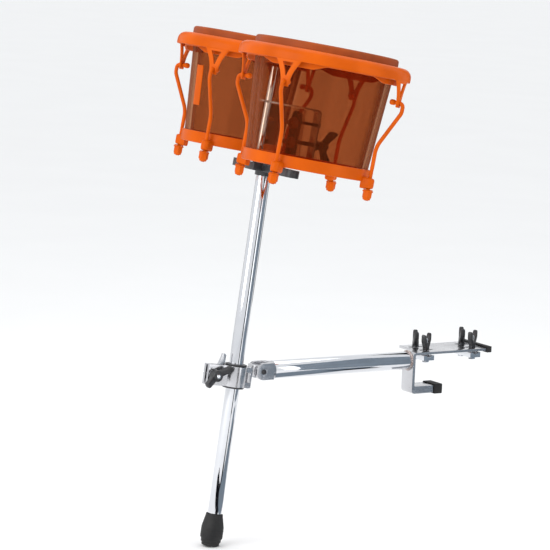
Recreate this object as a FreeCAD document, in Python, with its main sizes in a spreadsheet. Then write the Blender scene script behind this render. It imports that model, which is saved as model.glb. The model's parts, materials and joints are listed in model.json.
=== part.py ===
import FreeCAD, Part
import math
import os
import Sketcher
from FreeCAD import Placement, Rotation, Vector

# A pair of bongo drums on a post, a clamp and an arm that bolt to a conga's rim.
# The row frame: +X along the arm towards the conga, +Z up, origin on the arm's axis at
# the bracket's outer face. The drums lie along Y, the large one at -Y.

X, Y, Z = Vector(1, 0, 0), Vector(0, 1, 0), Vector(0, 0, 1)
LUGS = 4
UNITS = ("a", "b")
RUN = "Sizes.running_clearance"

SIZES = {
    # fits
    "running_clearance": 0.06, "body_gap": 0.3, "hole_gap": 0.8,
    # pose of the post and of the head on it
    "post_tilt_deg": 6.9, "head_tilt_deg": 2.7, "head_turn_deg": -4,
    # bracket on the conga's rim
    "bar_thick": 5, "bar_wide": 30, "bar_top": 14, "bar_foot": -53, "lip_long": 50,
    "lip_tall": 12,
    "plate_long": 146, "plate_thick": 4, "plate_front": -15, "plate_wide": 70,
    "plate_start": 15, "slot_wide": 7, "slot_long": 26, "unit_one_at": 33,
    "unit_spacing": 92, "unit_bolt_front": 5, "unit_bolt_spacing": 30,
    "unit_bolt_radius": 3, "unit_bolt_low": -6, "unit_bolt_high": 33,
    "saddle_wide": 20, "saddle_thick": 8, "saddle_low": -2, "saddle_over": 10,
    "lip_cap_thick": 4, "lip_cap_deep": 12, "end_cap_long": 9, "end_cap_wall": 3,
    # arm
    "arm_radius": 14.3, "arm_wall": 1.6, "arm_long": 258, "plug_long": 40,
    "collar_long": 8, "fork_base_at": -275, "pin_at": -286, "cheek_thick": 6,
    "tongue_wide": 17.4, "cheek_round": 13, "yoke_pin_radius": 3, "tongue_round": 9,
    "pin_head_radius": 4, "pin_head_thick": 1.5,
    # post clamp
    "pin_to_post": 43.4, "jaw_top": 5, "jaw_tall": 32, "jaw_inner": 14.8,
    "jaw_outer": 19, "flange_thick": 5, "flange_face": 2.5, "flange_end": 52,
    "clamp_bolt_at": 42, "clamp_bolt_radius": 3.5, "hinge_x": 20, "hinge_y": -10,
    "hinge_radius": 2.2, "knuckle_radius": 5, "knuckle_tall": 8, "washer_radius": 8,
    "washer_thick": 1.5, "clamp_nut_wide": 13, "clamp_nut_thick": 6,
    "bushing_outer": 14.5, "bushing_flange": 17, "bushing_lip": 2.5,
    "rear_split": 1, "rear_hinge_split": -4.7, "front_split": -1,
    "front_hinge_split": -5.4, "flange_start": 16.3, "stop_thick": 4, "neck_start": 16.3,
    "neck_near": -4.5, "neck_low": -8, "neck_tall": 12.5, "tongue_start": 27,
    "rear_web_start": 16, "rear_web_near": -9, "rear_web_deep": 8, "rear_web_long": 4,
    "front_web_start": 9, "front_web_near": -15, "front_web_deep": 4,
    "knuckle_gap": 0.5, "wing_shank_long": 38, "wing_shank_reach": 32,
    "wing_rest_deg": 38, "pad_wing_rest_deg": 12,
    # post
    "post_radius": 11.1, "post_wall": 1.5, "post_low": -262, "post_high": 315,
    "foot_low": -279, "foot_high": -229, "foot_wide": 17.5, "head_at": 321,
    # block clamp
    "boss_radius": 13.7, "boss_deep": 18, "crossbar_wide": 22, "crossbar_thick": 12,
    "crossbar_near": 101, "crossbar_far": 94, "centre_wide": 50, "centre_deep": 27,
    "centre_back": -26, "dome_at": 26, "dome_radius": 5.5, "dome_tall": 3,
    "dome_shank": 3, "rod_radius": 4.75, "rod_at": -14.5, "rod_top": 150, "rod_low": 5,
    "strap_thick": 3, "strap_wide": 20, "strap_high": 97, "strap_out": 77,
    "strap_back": -28, "strap_round": 8, "pad_face": 35.1, "pad_rubber_thick": 7,
    "pad_low": 4.5, "pad_tall": 85, "pad_wide": 21, "pad_plate_thick": 2.5,
    "guide_radius": 2.5, "guide_low": 15, "guide_high": 73, "guide_long": 34,
    "guide_head_radius": 5, "guide_head_thick": 3, "screw_radius": 3.4,
    "screw_at": 42, "screw_long": 59, "boss_wide": 16, "boss_thick": 7,
    # wings: hub radius, hub length, half span, flare and plate
    "wing_hub_radius": 7.5, "wing_hub_long": 13, "wing_span": 26, "wing_plate": 8,
    "wing_tip_low": 11, "wing_tip_high": 26,
    "nut_wing_hub_radius": 5.5, "nut_wing_hub_long": 11, "nut_wing_span": 14,
    "nut_wing_plate": 4, "nut_wing_tip_low": 13, "nut_wing_tip_high": 27,
    # drums
    "drum_high": 190, "large_low": 7, "small_low": 15, "shell_wall": 9,
    "large_top_radius": 107,
    "large_bottom_radius": 92, "small_top_radius": 90, "small_bottom_radius": 76,
    "large_at": -127.5, "small_at": 122.5, "lug_angle_deg": 37, "skin_thick": 1.8,
    "skirt_deep": 18, "hoop_radius": 3, "rim_overhang": 24, "rim_drop": 10,
    "rim_skin": 3, "rim_roll_deep": 20, "rim_round": 13, "collar_gap": 8.4,
    "collar_thick": 2.4, "collar_foot": 38, "ear_wide": 46, "ear_tip": 13,
    "ear_top_drop": 26, "ear_side": 4, "ear_foot_drop": 69, "ear_eye_drop": 62,
    "ear_thick": 4, "hook_radius": 3.5, "hook_below": 30, "hook_end": 15,
    "hook_turn_out": 70, "hook_turn_up": 14, "hook_clear": 6, "knob_radius": 5,
    "knob_long": 4, "lug_out": 15,
    "ring_gap": 2.4, "ring_thick": 2.6, "ring_tall": 18, "ring_lip": 3,
    "ring_lip_in": 8, "lug_wide": 15, "lug_over": 7, "lug_drop": 13, "lug_rise": 5,
    "lug_washer_thick": 1.2, "lug_washer_radius": 7, "nut_radius": 6.8,
    "nut_tall": 15, "block_back": -9.5, "block_front": 34.8,
    "block_low": 3.3, "block_high": 93, "block_gap": 0.15, "block_bolt_radius": 3.2,
    "block_bolt_low": 40, "block_bolt_high": 70, "block_bolt_long": 26,
    "spot_radius": 10, "block_washer_radius": 9, "block_washer_thick": 1.5,
    "block_head_radius": 6, "block_head_thick": 3.5, "badge_wide": 16,
    "badge_tall": 62, "badge_low": 70, "badge_thick": 1.2, "badge_angle_deg": 188,
}

doc = FreeCAD.newDocument("bongos")
sheet = doc.addObject("Spreadsheet::Sheet", "Sizes")
for row, (alias, number) in enumerate(SIZES.items(), 1):
    sheet.set(f"A{row}", str(number))
    sheet.setAlias(f"A{row}", alias)
doc.recompute()
pieces = []


def size(alias):
    """A size from the sheet, as a plain number."""
    return float(sheet.get(alias))


def value(expression):
    """What an expression over the sheet's sizes comes to."""
    found = sheet.evalExpression(str(expression))
    return float(getattr(found, "Value", found))


def at(x=0.0, y=0.0, z=0.0, turn=None):
    """A place given by expressions or numbers, and a rotation."""
    return Placement(Vector(value(x), value(y), value(z)), turn or Rotation())


def along(direction):
    """The rotation that takes +Z to a direction."""
    return Rotation(Z, direction)


def bind(item, **sizes):
    for name, expression in sizes.items():
        item.setExpression(name, str(expression))
    return item


def box(name, corner, lengths):
    item = doc.addObject("Part::Box", name)
    bind(item, Length=lengths[0], Width=lengths[1], Height=lengths[2])
    item.Placement = at(*corner)
    return item


def cylinder(name, radius, height, base=(0, 0, 0), direction=Z):
    item = doc.addObject("Part::Cylinder", name)
    bind(item, Radius=radius, Height=height)
    item.Placement = at(*base, turn=along(direction))
    return item


def prism(name, circumradius, height, base=(0, 0, 0), direction=Z):
    item = doc.addObject("Part::Prism", name)
    item.Polygon = 6
    bind(item, Circumradius=circumradius, Height=height)
    item.Placement = at(*base, turn=along(direction))
    return item


def cone(name, bottom, top, height, base):
    item = doc.addObject("Part::Cone", name)
    bind(item, Radius1=bottom, Radius2=top, Height=height)
    item.Placement = at(*base)
    return item


def fuse(name, *items):
    joined = doc.addObject("Part::MultiFuse", name)
    joined.Shapes = list(items)
    joined.Refine = True
    return joined


def cut(name, base, *tools):
    cutter = tools[0] if len(tools) == 1 else fuse(name + "_tools", *tools)
    left = doc.addObject("Part::Cut", name)
    left.Base, left.Tool = base, cutter
    return left


def common(name, one, other):
    shared = doc.addObject("Part::Common", name)
    shared.Base, shared.Tool = one, other
    return shared


def group(name, *items):
    """Separate solids of one kind, kept in one sub-part."""
    together = doc.addObject("Part::Compound", name)
    together.Links = list(items)
    return together


def outline(body, role, points):
    """A closed sketch of straight sides, each corner placed by two expressions."""
    sketch = body.newObject("Sketcher::SketchObject", body.Name + "_outline")
    plane = [f for f in body.Origin.OriginFeatures if f.Role == role][0]
    sketch.AttachmentSupport = [(plane, "")]
    sketch.MapMode = "FlatFace"
    corners = [Vector(value(a), value(b), 0) for a, b in points]
    for index, corner in enumerate(corners):
        after = corners[(index + 1) % len(corners)]
        sketch.addGeometry(Part.LineSegment(corner, after), False)
    for index in range(len(corners)):
        after = (index + 1) % len(corners)
        sketch.addConstraint(Sketcher.Constraint("Coincident", index, 2, after, 1))
    for index, (corner, pair) in enumerate(zip(corners, points)):
        for kind, number, expression in zip(("DistanceX", "DistanceY"), corner, pair):
            rule = Sketcher.Constraint(kind, -1, 1, index, 1, number)
            place = sketch.addConstraint(rule)
            if "Sizes" in str(expression):
                sketch.setExpression(f"Constraints[{place}]", expression)
    return sketch


def turned(name, points):
    """A body turned about Z from corners given as radius and height."""
    body = doc.addObject("PartDesign::Body", name)
    turn = body.newObject("PartDesign::Revolution", name + "_turn")
    turn.Profile = outline(body, "XZ_Plane", points)
    turn.ReferenceAxis = (turn.Profile[0], ["V_Axis"])
    turn.Angle = 360
    doc.recompute()
    return body


def plate(name, role, points, thickness):
    """A body cut from plate, its outline drawn on one of its origin planes."""
    body = doc.addObject("PartDesign::Body", name)
    pad = body.newObject("PartDesign::Pad", name + "_pad")
    pad.Profile = outline(body, role, points)
    bind(pad, Length=thickness)
    doc.recompute()
    return body


def rounded(body, radius, wanted):
    """Rounds the body's edges whose middle passes a test."""
    doc.recompute()
    names = [
        f"Edge{number}"
        for number, edge in enumerate(body.Shape.Edges, 1)
        if wanted(edge)
    ]
    base = body.Tip
    fillet = body.newObject("PartDesign::Fillet", f"{body.Name}_round")
    fillet.Base = (base, names)
    bind(fillet, Radius=radius)
    body.Tip = fillet
    doc.recompute()
    return body


def ring_edge(radius, height):
    """A test for the circular edge at a radius and height about the turning axis."""
    def wanted(edge):
        if not isinstance(edge.Curve, Part.Circle):
            return False
        near_radius = abs(edge.Curve.Radius - value(radius)) < 0.01
        return near_radius and abs(edge.Curve.Center.z - value(height)) < 0.01
    return wanted


def side_edge(x, z):
    """A test for the straight edge along Y at a place in the XZ plane."""
    def wanted(edge):
        ends = [vertex.Point for vertex in edge.Vertexes]
        return len(ends) == 2 and all(
            abs(end.x - value(x)) < 0.01 and abs(end.z - value(z)) < 0.01
            for end in ends
        )
    return wanted


def bent_rod(radius, points, bends):
    """A round rod along straight runs with an arc of its own radius at each corner."""
    edges, start = [], points[0]
    for index in range(1, len(points) - 1):
        corner, after = points[index], points[index + 1]
        back = (start - corner).normalize()
        ahead = (after - corner).normalize()
        half = back.getAngle(ahead) / 2
        bend = bends[index - 1]
        reach = bend / math.tan(half)
        enter, leave = corner + back * reach, corner + ahead * reach
        middle = (back + ahead).normalize() * (bend / math.sin(half) - bend)
        edges.append(Part.LineSegment(start, enter).toShape())
        edges.append(Part.Arc(enter, corner + middle, leave).toShape())
        start = leave
    edges.append(Part.LineSegment(start, points[-1]).toShape())
    path = Part.Wire(edges)
    heading = points[1] - points[0]
    ring = Part.Wire(Part.makeCircle(radius, points[0], heading))
    return path.makePipeShell([ring], True, True)


def feature(name, shape):
    item = doc.addObject("Part::Feature", name)
    item.Shape = shape
    return item


def piece(label, item, frame):
    """Names a finished sub-part and puts it in its frame."""
    item.Label = label
    item.Placement = frame * item.Placement
    pieces.append(item)
    return item


def winged(name, prefix, bore=None):
    """A hub with two flared wings, its axis along Z and its seat at Z 0."""
    s = f"Sizes.{prefix}"
    hub = cylinder(name + "_hub", f"{s}_hub_radius", f"{s}_hub_long")
    half = [
        ("0", "2"), (f"{s}_hub_radius", "2"), (f"{s}_span - 3", f"{s}_tip_low"),
        (f"{s}_span", f"{s}_tip_low + 4"), (f"{s}_span - 1", f"{s}_tip_high"),
        (f"{s}_span - 5", f"{s}_tip_high"), (f"{s}_hub_radius", f"{s}_hub_long"),
        ("0", f"{s}_hub_long"),
    ]
    joined = [hub]
    for side, turn in (("left", 0), ("right", 180)):
        wing = plate(f"{name}_{side}", "XZ_Plane", half, f"{s}_plate")
        wing = rounded(wing, "1.2", lambda e: side_edge(f"{s}_span", f"{s}_tip_low + 4")(e)
                       or side_edge(f"{s}_span - 1", f"{s}_tip_high")(e))
        shift = Placement(Vector(0, value(f"{s}_plate / 2"), 0), Rotation())
        wing.Placement = Placement(Vector(), Rotation(Z, turn)) * shift
        joined.append(wing)
    whole = fuse(name + "_joined", *joined)
    if bore is None:
        return whole
    return cut(name, whole, cylinder(name + "_bore", bore, "60", (0, 0, -20)))


# ---------------------------------------------------------------- frames
ARM = Placement()
CLAMP = at("Sizes.pin_at", turn=Rotation(Y, size("post_tilt_deg")))
POST = CLAMP * at("-Sizes.pin_to_post")
HEAD_TURN = Rotation(Z, size("head_turn_deg")) * Rotation(Y, size("head_tilt_deg"))
HEAD = POST * at(z="Sizes.head_at", turn=HEAD_TURN)


# ---------------------------------------------------------------- conga bracket
def mount_bracket():
    s = "Sizes."
    back, foot, top = f"-{s}bar_thick", f"{s}bar_foot", f"{s}bar_top"
    side = plate("bracket_side", "XZ_Plane", [
        (back, foot), (f"{s}lip_long", foot), (f"{s}lip_long", f"{foot} + {s}lip_tall"),
        ("0", f"{foot} + {s}lip_tall"), ("0", f"{top} - {s}plate_thick"),
        (f"{s}lip_long", f"{top} - {s}plate_thick"), (f"{s}lip_long", top), (back, top),
    ], "Sizes.bar_wide")
    for x, z in ((back, foot), (back, top)):
        side = rounded(side, "Sizes.bar_thick + 1", side_edge(x, z))
    for z in (foot, f"{foot} + {s}lip_tall"):
        side = rounded(side, "3", side_edge(f"{s}lip_long", z))
    for z in (f"{foot} + {s}lip_tall", f"{top} - {s}plate_thick"):
        side = rounded(side, "2", side_edge("0", z))
    side.Placement = at(y="Sizes.bar_wide / 2")
    wide = box("bracket_plate", (f"{s}plate_start", f"{s}plate_front",
                                 f"{top} - {s}plate_thick"),
               (f"{s}plate_long - {s}plate_start", f"{s}plate_wide", f"{s}plate_thick"))
    slots = []
    for unit in range(2):
        for bolt in range(2):
            x = f"{s}unit_one_at + {unit} * {s}unit_spacing"
            y = f"{s}unit_bolt_front + {bolt} * {s}unit_bolt_spacing"
            reach = f"({s}slot_long - {s}slot_wide) / 2"
            slots.append(box(f"slot_{unit}{bolt}",
                             (f"{x} - {reach}", f"{y} - {s}slot_wide / 2", "0"),
                             (f"2 * {reach}", f"{s}slot_wide", "40")))
            for end, sign in (("low", "-"), ("high", "+")):
                slots.append(cylinder(f"slot_{end}_{unit}{bolt}", f"{s}slot_wide / 2",
                                      "40", (f"{x} {sign} {reach}", y, "0")))
    whole = fuse("bracket_whole", side, wide)
    piece("mount_bracket", cut("bracket", whole, *slots), ARM)


def bracket_caps():
    s = "Sizes."
    cap = box("lip_cap_block",
              (f"{s}lip_long - {s}lip_cap_deep", f"-{s}bar_wide / 2 - 2",
               f"{s}bar_foot - 2"),
              (f"{s}lip_cap_deep + {s}lip_cap_thick", f"{s}bar_wide + 4",
               f"{s}lip_tall + 4"))
    gap = box("lip_cap_gap",
              (f"{s}lip_long - 20", f"-{s}bar_wide / 2", f"{s}bar_foot"),
              ("20", f"{s}bar_wide", f"{s}lip_tall"))
    piece("lip_cap", cut("lip_cap_cut", cap, gap), ARM)
    low = f"{s}bar_top - {s}plate_thick"
    block = box("end_cap_block",
                (f"{s}plate_long - {s}end_cap_long + {s}end_cap_wall",
                 f"{s}plate_front - 2", f"{low} - 3"),
                (f"{s}end_cap_long", f"{s}plate_wide + 4", f"{s}plate_thick + 6"))
    slit = box("end_cap_slit", (f"{s}plate_long - 20", f"{s}plate_front", low),
               ("20", f"{s}plate_wide", f"{s}plate_thick"))
    piece("plate_end_cap", cut("end_cap_cut", block, slit), ARM)


def clamp_unit(letter, number):
    s = "Sizes."
    x = f"{s}unit_one_at + {number} * {s}unit_spacing"
    ys = [f"{s}unit_bolt_front", f"{s}unit_bolt_front + {s}unit_bolt_spacing"]
    bar = box(f"saddle_bar_{letter}",
              (f"{x} - {s}saddle_wide / 2", f"{ys[0]} - {s}saddle_over",
               f"{s}saddle_low"),
              (f"{s}saddle_wide", f"{s}unit_bolt_spacing + 2 * {s}saddle_over",
               f"{s}saddle_thick"))
    groove = cylinder(f"saddle_groove_{letter}", "6", "80",
                      (x, f"{ys[0]} - 20", f"{s}saddle_low + {s}saddle_thick + 3"), Y)
    holes = [cylinder(f"saddle_hole_{letter}{n}", f"{s}unit_bolt_radius + {RUN}", "60",
                      (x, y, "-10")) for n, y in enumerate(ys)]
    saddle = cut(f"saddle_{letter}", bar, groove, *holes)
    piece(f"unit_{letter}_saddle", saddle, ARM)
    bolts = []
    for n, y in enumerate(ys):
        shank = cylinder(f"unit_shank_{letter}{n}", f"{s}unit_bolt_radius",
                         f"{s}unit_bolt_high - {s}unit_bolt_low",
                         (x, y, f"{s}unit_bolt_low"))
        head = prism(f"unit_head_{letter}{n}", f"{s}unit_bolt_radius * 2",
                     f"{s}saddle_low - {s}unit_bolt_low", (x, y, f"{s}unit_bolt_low"))
        bolts.append(fuse(f"unit_bolt_{letter}{n}", shank, head))
    piece(f"unit_{letter}_bolts", group(f"unit_{letter}_both", *bolts), ARM)
    for n, y in enumerate(ys):
        nut = winged(f"unit_nut_{letter}{n}", "nut_wing", f"{s}unit_bolt_radius + {RUN}")
        place = at(x, y, f"{s}bar_top + {s}body_gap", Rotation(Z, 35 + 25 * n))
        nut.Placement = place
        piece(f"unit_{letter}_wing_nut_{n + 1}", nut, ARM)


# ---------------------------------------------------------------- arm
def arm():
    s = "Sizes."
    start = f"-{s}bar_thick - {s}arm_long"
    outer = cylinder("arm_outer", f"{s}arm_radius", f"{s}arm_long", (start, 0, 0), X)
    inner = cylinder("arm_inner", f"{s}arm_radius - {s}arm_wall", f"{s}arm_long",
                     (start, 0, 0), X)
    piece("arm_tube", cut("arm", outer, inner), ARM)
    bore = f"{s}arm_radius - {s}arm_wall - {RUN}"
    plug = cylinder("plug", bore, f"{s}plug_long", (start, 0, 0), X)
    collar = cylinder("plug_collar", f"{s}arm_radius", f"{s}collar_long",
                      (f"{start} - {s}collar_long - {s}body_gap", 0, 0), X)
    neck = cylinder("plug_neck", bore, "4", (f"{start} - 2", 0, 0), X)
    half = f"({s}tongue_wide / 2 + {s}cheek_thick)"
    base = box("fork_base", (f"{s}fork_base_at", f"-{half}", f"-{s}cheek_round"),
               ("8", f"2 * {half}", f"2 * {s}cheek_round"))
    joined = [plug, collar, neck, base]
    for side, y in (("near", f"-{half}"), ("far", f"{s}tongue_wide / 2")):
        joined.append(box(f"cheek_{side}", (f"{s}pin_at", y, f"-{s}cheek_round"),
                          ("12", f"{s}cheek_thick", f"2 * {s}cheek_round")))
        joined.append(cylinder(f"cheek_end_{side}", f"{s}cheek_round",
                               f"{s}cheek_thick", (f"{s}pin_at", y, 0), Y))
    hole = cylinder("yoke_hole", f"{s}yoke_pin_radius", "60", (f"{s}pin_at", -30, 0), Y)
    piece("arm_yoke", cut("yoke", fuse("yoke_solid", *joined), hole), ARM)
    pin = cylinder("yoke_pin_shank", f"{s}yoke_pin_radius", f"2 * {half}",
                   (f"{s}pin_at", f"-{half}", 0), Y)
    head = cylinder("yoke_pin_head", f"{s}pin_head_radius", f"{s}pin_head_thick",
                    (f"{s}pin_at", f"-{half} - {s}pin_head_thick", 0), Y)
    tail = cylinder("yoke_pin_tail", f"{s}pin_head_radius", f"{s}pin_head_thick",
                    (f"{s}pin_at", half, 0), Y)
    piece("yoke_pin", fuse("yoke_pin_whole", pin, head, tail), ARM)


# ---------------------------------------------------------------- post clamp
JAW_LOW = "Sizes.jaw_top - Sizes.jaw_tall"
BOLT_Z = "Sizes.jaw_top - Sizes.jaw_tall / 2"
FAR = "80"


def half_ring(name, keep):
    """Part of the ring round the bushing, kept where the boxes are."""
    s = "Sizes."
    outer = cylinder(name + "_outer", f"{s}jaw_outer", f"{s}jaw_tall", (0, 0, JAW_LOW))
    inner = cylinder(name + "_inner", f"{s}jaw_inner", f"{s}jaw_tall", (0, 0, JAW_LOW))
    ring = cut(name + "_ring", outer, inner)
    return common(name + "_half", ring, fuse(name + "_keep", *keep))


def rear_jaw():
    s = "Sizes."
    keep = [box("rear_left", (f"-{FAR}", f"{s}rear_split", -60), (FAR, FAR, "120")),
            box("rear_right", (0, f"{s}rear_hinge_split", -60), (FAR, FAR, "120"))]
    ring = half_ring("rear", keep)
    flange = box("rear_flange", (f"-{s}flange_end", f"{s}flange_face", JAW_LOW),
                 (f"{s}flange_end - {s}flange_start", f"{s}flange_thick",
                  f"{s}jaw_tall"))
    stop = plate("rear_stop", "XZ_Plane",
                 [(-31, 3), (-19, 3), (-18.5, 20), (-21, 22), (-25, 22), (-26, 17)],
                 f"{s}stop_thick")
    stop.Placement = at(y=f"{s}flange_face + {s}stop_thick")
    half = f"({s}tongue_wide / 2 - {s}body_gap)"
    neck = box("rear_neck", (f"{s}neck_start", f"{s}neck_near", f"{s}neck_low"),
               (f"{s}tongue_start - {s}neck_start + 1", f"{half} - {s}neck_near",
                f"{s}neck_tall"))
    tongue = box("rear_tongue", (f"{s}tongue_start", f"-{half}", f"-{s}tongue_round"),
                 (f"{s}pin_to_post - {s}tongue_start", f"2 * {half}",
                  f"2 * {s}tongue_round"))
    end = cylinder("rear_tongue_end", f"{s}tongue_round", f"2 * {half}",
                   (f"{s}pin_to_post", f"-{half}", 0), Y)
    low = f"{JAW_LOW} + {s}knuckle_tall + {s}knuckle_gap"
    tall = f"{s}jaw_tall - 2 * {s}knuckle_tall - 2 * {s}knuckle_gap"
    knuckle = cylinder("rear_knuckle", f"{s}knuckle_radius", tall,
                       (f"{s}hinge_x", f"{s}hinge_y", low))
    web = box("rear_web", (f"{s}rear_web_start", f"{s}rear_web_near", low),
              (f"{s}rear_web_long", f"{s}rear_web_deep", tall))
    solid = fuse("rear_solid", ring, flange, stop, neck, tongue, end, knuckle, web)
    holes = [
        cylinder("rear_bolt_hole", f"{s}clamp_bolt_radius + {RUN}", "60",
                 (f"-{s}clamp_bolt_at", -30, BOLT_Z), Y),
        cylinder("rear_pin_hole", f"{s}yoke_pin_radius + {RUN}", "60",
                 (f"{s}pin_to_post", -30, 0), Y),
        cylinder("rear_hinge_hole", f"{s}hinge_radius", "60",
                 (f"{s}hinge_x", f"{s}hinge_y", -40)),
        cylinder("rear_bushing_room", f"{s}jaw_inner", "80", (0, 0, -50)),
    ]
    piece("rear_jaw", cut("rear", solid, *holes), POST)


def front_jaw():
    s = "Sizes."
    keep = [box("front_left", (f"-{FAR}", f"{s}front_split - {FAR}", -60),
                (FAR, FAR, "120")),
            box("front_right", (-1, f"{s}front_hinge_split - {FAR}", -60),
                ("16", FAR, "120"))]
    ring = half_ring("front", keep)
    flange = box("front_flange",
                 (f"-{s}flange_end", f"-{s}flange_face - {s}flange_thick", JAW_LOW),
                 (f"{s}flange_end - {s}flange_start", f"{s}flange_thick",
                  f"{s}jaw_tall"))
    joined = [ring, flange]
    top = f"{s}jaw_top - {s}knuckle_tall"
    for where, z in (("low", JAW_LOW), ("high", top)):
        joined.append(cylinder(f"front_knuckle_{where}", f"{s}knuckle_radius",
                               f"{s}knuckle_tall", (f"{s}hinge_x", f"{s}hinge_y", z)))
        joined.append(box(f"front_web_{where}",
                          (f"{s}front_web_start", f"{s}front_web_near", z),
                          (f"{s}hinge_x - {s}front_web_start", f"{s}front_web_deep",
                           f"{s}knuckle_tall")))
    slot = cylinder("front_bolt_hole", f"{s}clamp_bolt_radius + {s}hole_gap", "60",
                    (f"-{s}clamp_bolt_at", -50, BOLT_Z), Y)
    pin = cylinder("front_hinge_hole", f"{s}hinge_radius + {RUN}", "60",
                   (f"{s}hinge_x", f"{s}hinge_y", -40))
    room = cylinder("front_bushing_room", f"{s}jaw_inner", "80", (0, 0, -50))
    solid = fuse("front_solid", *joined)
    piece("front_jaw", cut("front", solid, slot, pin, room), POST)
    rod = cylinder("hinge_rod", f"{s}hinge_radius", f"{s}jaw_tall + 2",
                   (f"{s}hinge_x", f"{s}hinge_y", f"{JAW_LOW} - 1"))
    piece("jaw_hinge_pin", rod, POST)


def clamp_bolt():
    s = "Sizes."
    face = f"-{s}flange_face - {s}flange_thick"
    seat = f"{face} - 2 * {s}body_gap - {s}washer_thick"
    disc = cylinder("washer_disc", f"{s}washer_radius", f"{s}washer_thick",
                    (f"-{s}clamp_bolt_at", f"{face} - {s}body_gap", BOLT_Z), -Y)
    hole = cylinder("washer_hole", f"{s}clamp_bolt_radius + {RUN}", "40",
                    (f"-{s}clamp_bolt_at", -40, BOLT_Z), Y)
    piece("clamp_washer", cut("washer", disc, hole), POST)
    shank = cylinder("bolt_shank", f"{s}clamp_bolt_radius", f"{s}wing_shank_long",
                     (0, 0, f"-{s}wing_shank_reach"))
    wing = winged("clamp_wing", "wing")
    bolt = fuse("wing_bolt", shank, wing)
    turn = Rotation(Y, -size("wing_rest_deg")) * along(-Y)
    bolt.Placement = at(f"-{s}clamp_bolt_at", seat, BOLT_Z, turn)
    piece("clamp_wing_bolt", bolt, POST)
    nut = prism("square_nut", f"{s}clamp_nut_wide / 2 + 1", f"{s}clamp_nut_thick",
                (f"-{s}clamp_bolt_at", f"{s}flange_face + {s}flange_thick", BOLT_Z), Y)
    bore = cylinder("square_nut_bore", f"{s}clamp_bolt_radius + {RUN}", "60",
                    (f"-{s}clamp_bolt_at", -30, BOLT_Z), Y)
    piece("clamp_nut", cut("clamp_nut_cut", nut, bore), POST)


def bushing():
    s = "Sizes."
    inner, outer = f"{s}post_radius + {RUN}", f"{s}bushing_outer"
    low, high = f"{JAW_LOW} - {s}body_gap", f"{s}jaw_top + {s}body_gap"
    lip, wide = f"{s}bushing_lip", f"{s}bushing_flange"
    points = [(inner, f"{low} - {lip}"), (wide, f"{low} - {lip}"), (wide, low),
              (outer, low), (outer, high), (wide, high), (wide, f"{high} + {lip}"),
              (inner, f"{high} + {lip}")]
    sleeve = turned("bushing_sleeve", points)
    split = box("bushing_split", ("0", "-1", "-60"), ("40", "2", "120"))
    piece("post_bushing", cut("bushing_cut", sleeve, split), POST)


# ---------------------------------------------------------------- post
def post():
    s = "Sizes."
    long = f"{s}post_high - {s}post_low"
    outer = cylinder("post_outer", f"{s}post_radius", long, (0, 0, f"{s}post_low"))
    inner = cylinder("post_inner", f"{s}post_radius - {s}post_wall", long,
                     (0, 0, f"{s}post_low"))
    piece("post_tube", cut("post", outer, inner), POST)
    low, high, wide = f"{s}foot_low", f"{s}foot_high", f"{s}foot_wide"
    foot = turned("foot", [
        ("0", low), (f"{wide} - 3.5", low), (f"{wide} - 3.5", f"{low} + 5"),
        (f"{wide} - 1.8", f"{low} + 6"), (f"{wide} - 1.8", f"{low} + 10"),
        (wide, f"{low} + 12"), (wide, f"{low} + 29"), (f"{wide} - 4", f"{high} - 3"),
        (f"{wide} - 5", high), (f"{s}post_radius", high),
        (f"{s}post_radius", f"{s}post_low"), ("0", f"{s}post_low"),
    ])
    foot = rounded(foot, "5", ring_edge(wide, f"{low} + 29"))
    piece("foot_cap", foot, POST)


# ---------------------------------------------------------------- block clamp
def crossbar():
    s = "Sizes."
    thick, wide = f"{s}crossbar_thick", f"{s}crossbar_wide"
    bar = box("crossbar_bar", (f"-{wide} / 2", f"-{s}crossbar_near + {wide} / 2",
                               f"-{thick}"),
              (wide, f"{s}crossbar_near + {s}crossbar_far - {wide}", thick))
    ends = [cylinder(f"crossbar_end_{n}", f"{wide} / 2", thick, (0, y, f"-{thick}"))
            for n, y in enumerate((f"-{s}crossbar_near + {wide} / 2",
                                   f"{s}crossbar_far - {wide} / 2"))]
    centre = box("crossbar_centre", (f"{s}centre_back", f"-{s}centre_deep / 2",
                                     f"-{thick}"),
                 (f"{s}centre_wide", f"{s}centre_deep", thick))
    lean = Rotation(Y, -size("head_tilt_deg"))
    boss = cylinder("crossbar_boss", f"{s}boss_radius", f"{s}boss_deep - 2")
    boss.Placement = Placement(Vector(), lean) * at(z=f"-{s}boss_deep")
    socket = cylinder("crossbar_socket", f"{s}post_radius", "60")
    socket.Placement = Placement(Vector(), lean) * at(z=f"{s}post_high - {s}head_at - 60")
    rod = cylinder("crossbar_rod_hole", f"{s}rod_radius + {RUN}", "60",
                   (f"{s}rod_at", 0, f"-{s}rod_low - 0.1"))
    dome = cylinder("crossbar_dome_hole", f"{s}dome_shank", "60", (0, f"{s}dome_at", -40))
    solid = fuse("crossbar_solid", bar, centre, boss, *ends)
    piece("head_crossbar", cut("crossbar", solid, socket, rod, dome), HEAD)
    shank = cylinder("dome_shank_rod", f"{s}dome_shank", thick,
                     (0, f"{s}dome_at", f"-{thick}"))
    button = turned("dome_button", [("0", "0"), (f"{s}dome_radius", "0"),
                                    (f"{s}dome_radius", "1.2"), ("2.5", f"{s}dome_tall"),
                                    ("0", f"{s}dome_tall")])
    button.Placement = at(y=f"{s}dome_at")
    piece("crossbar_bolt", fuse("dome_bolt", shank, button), HEAD)


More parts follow.
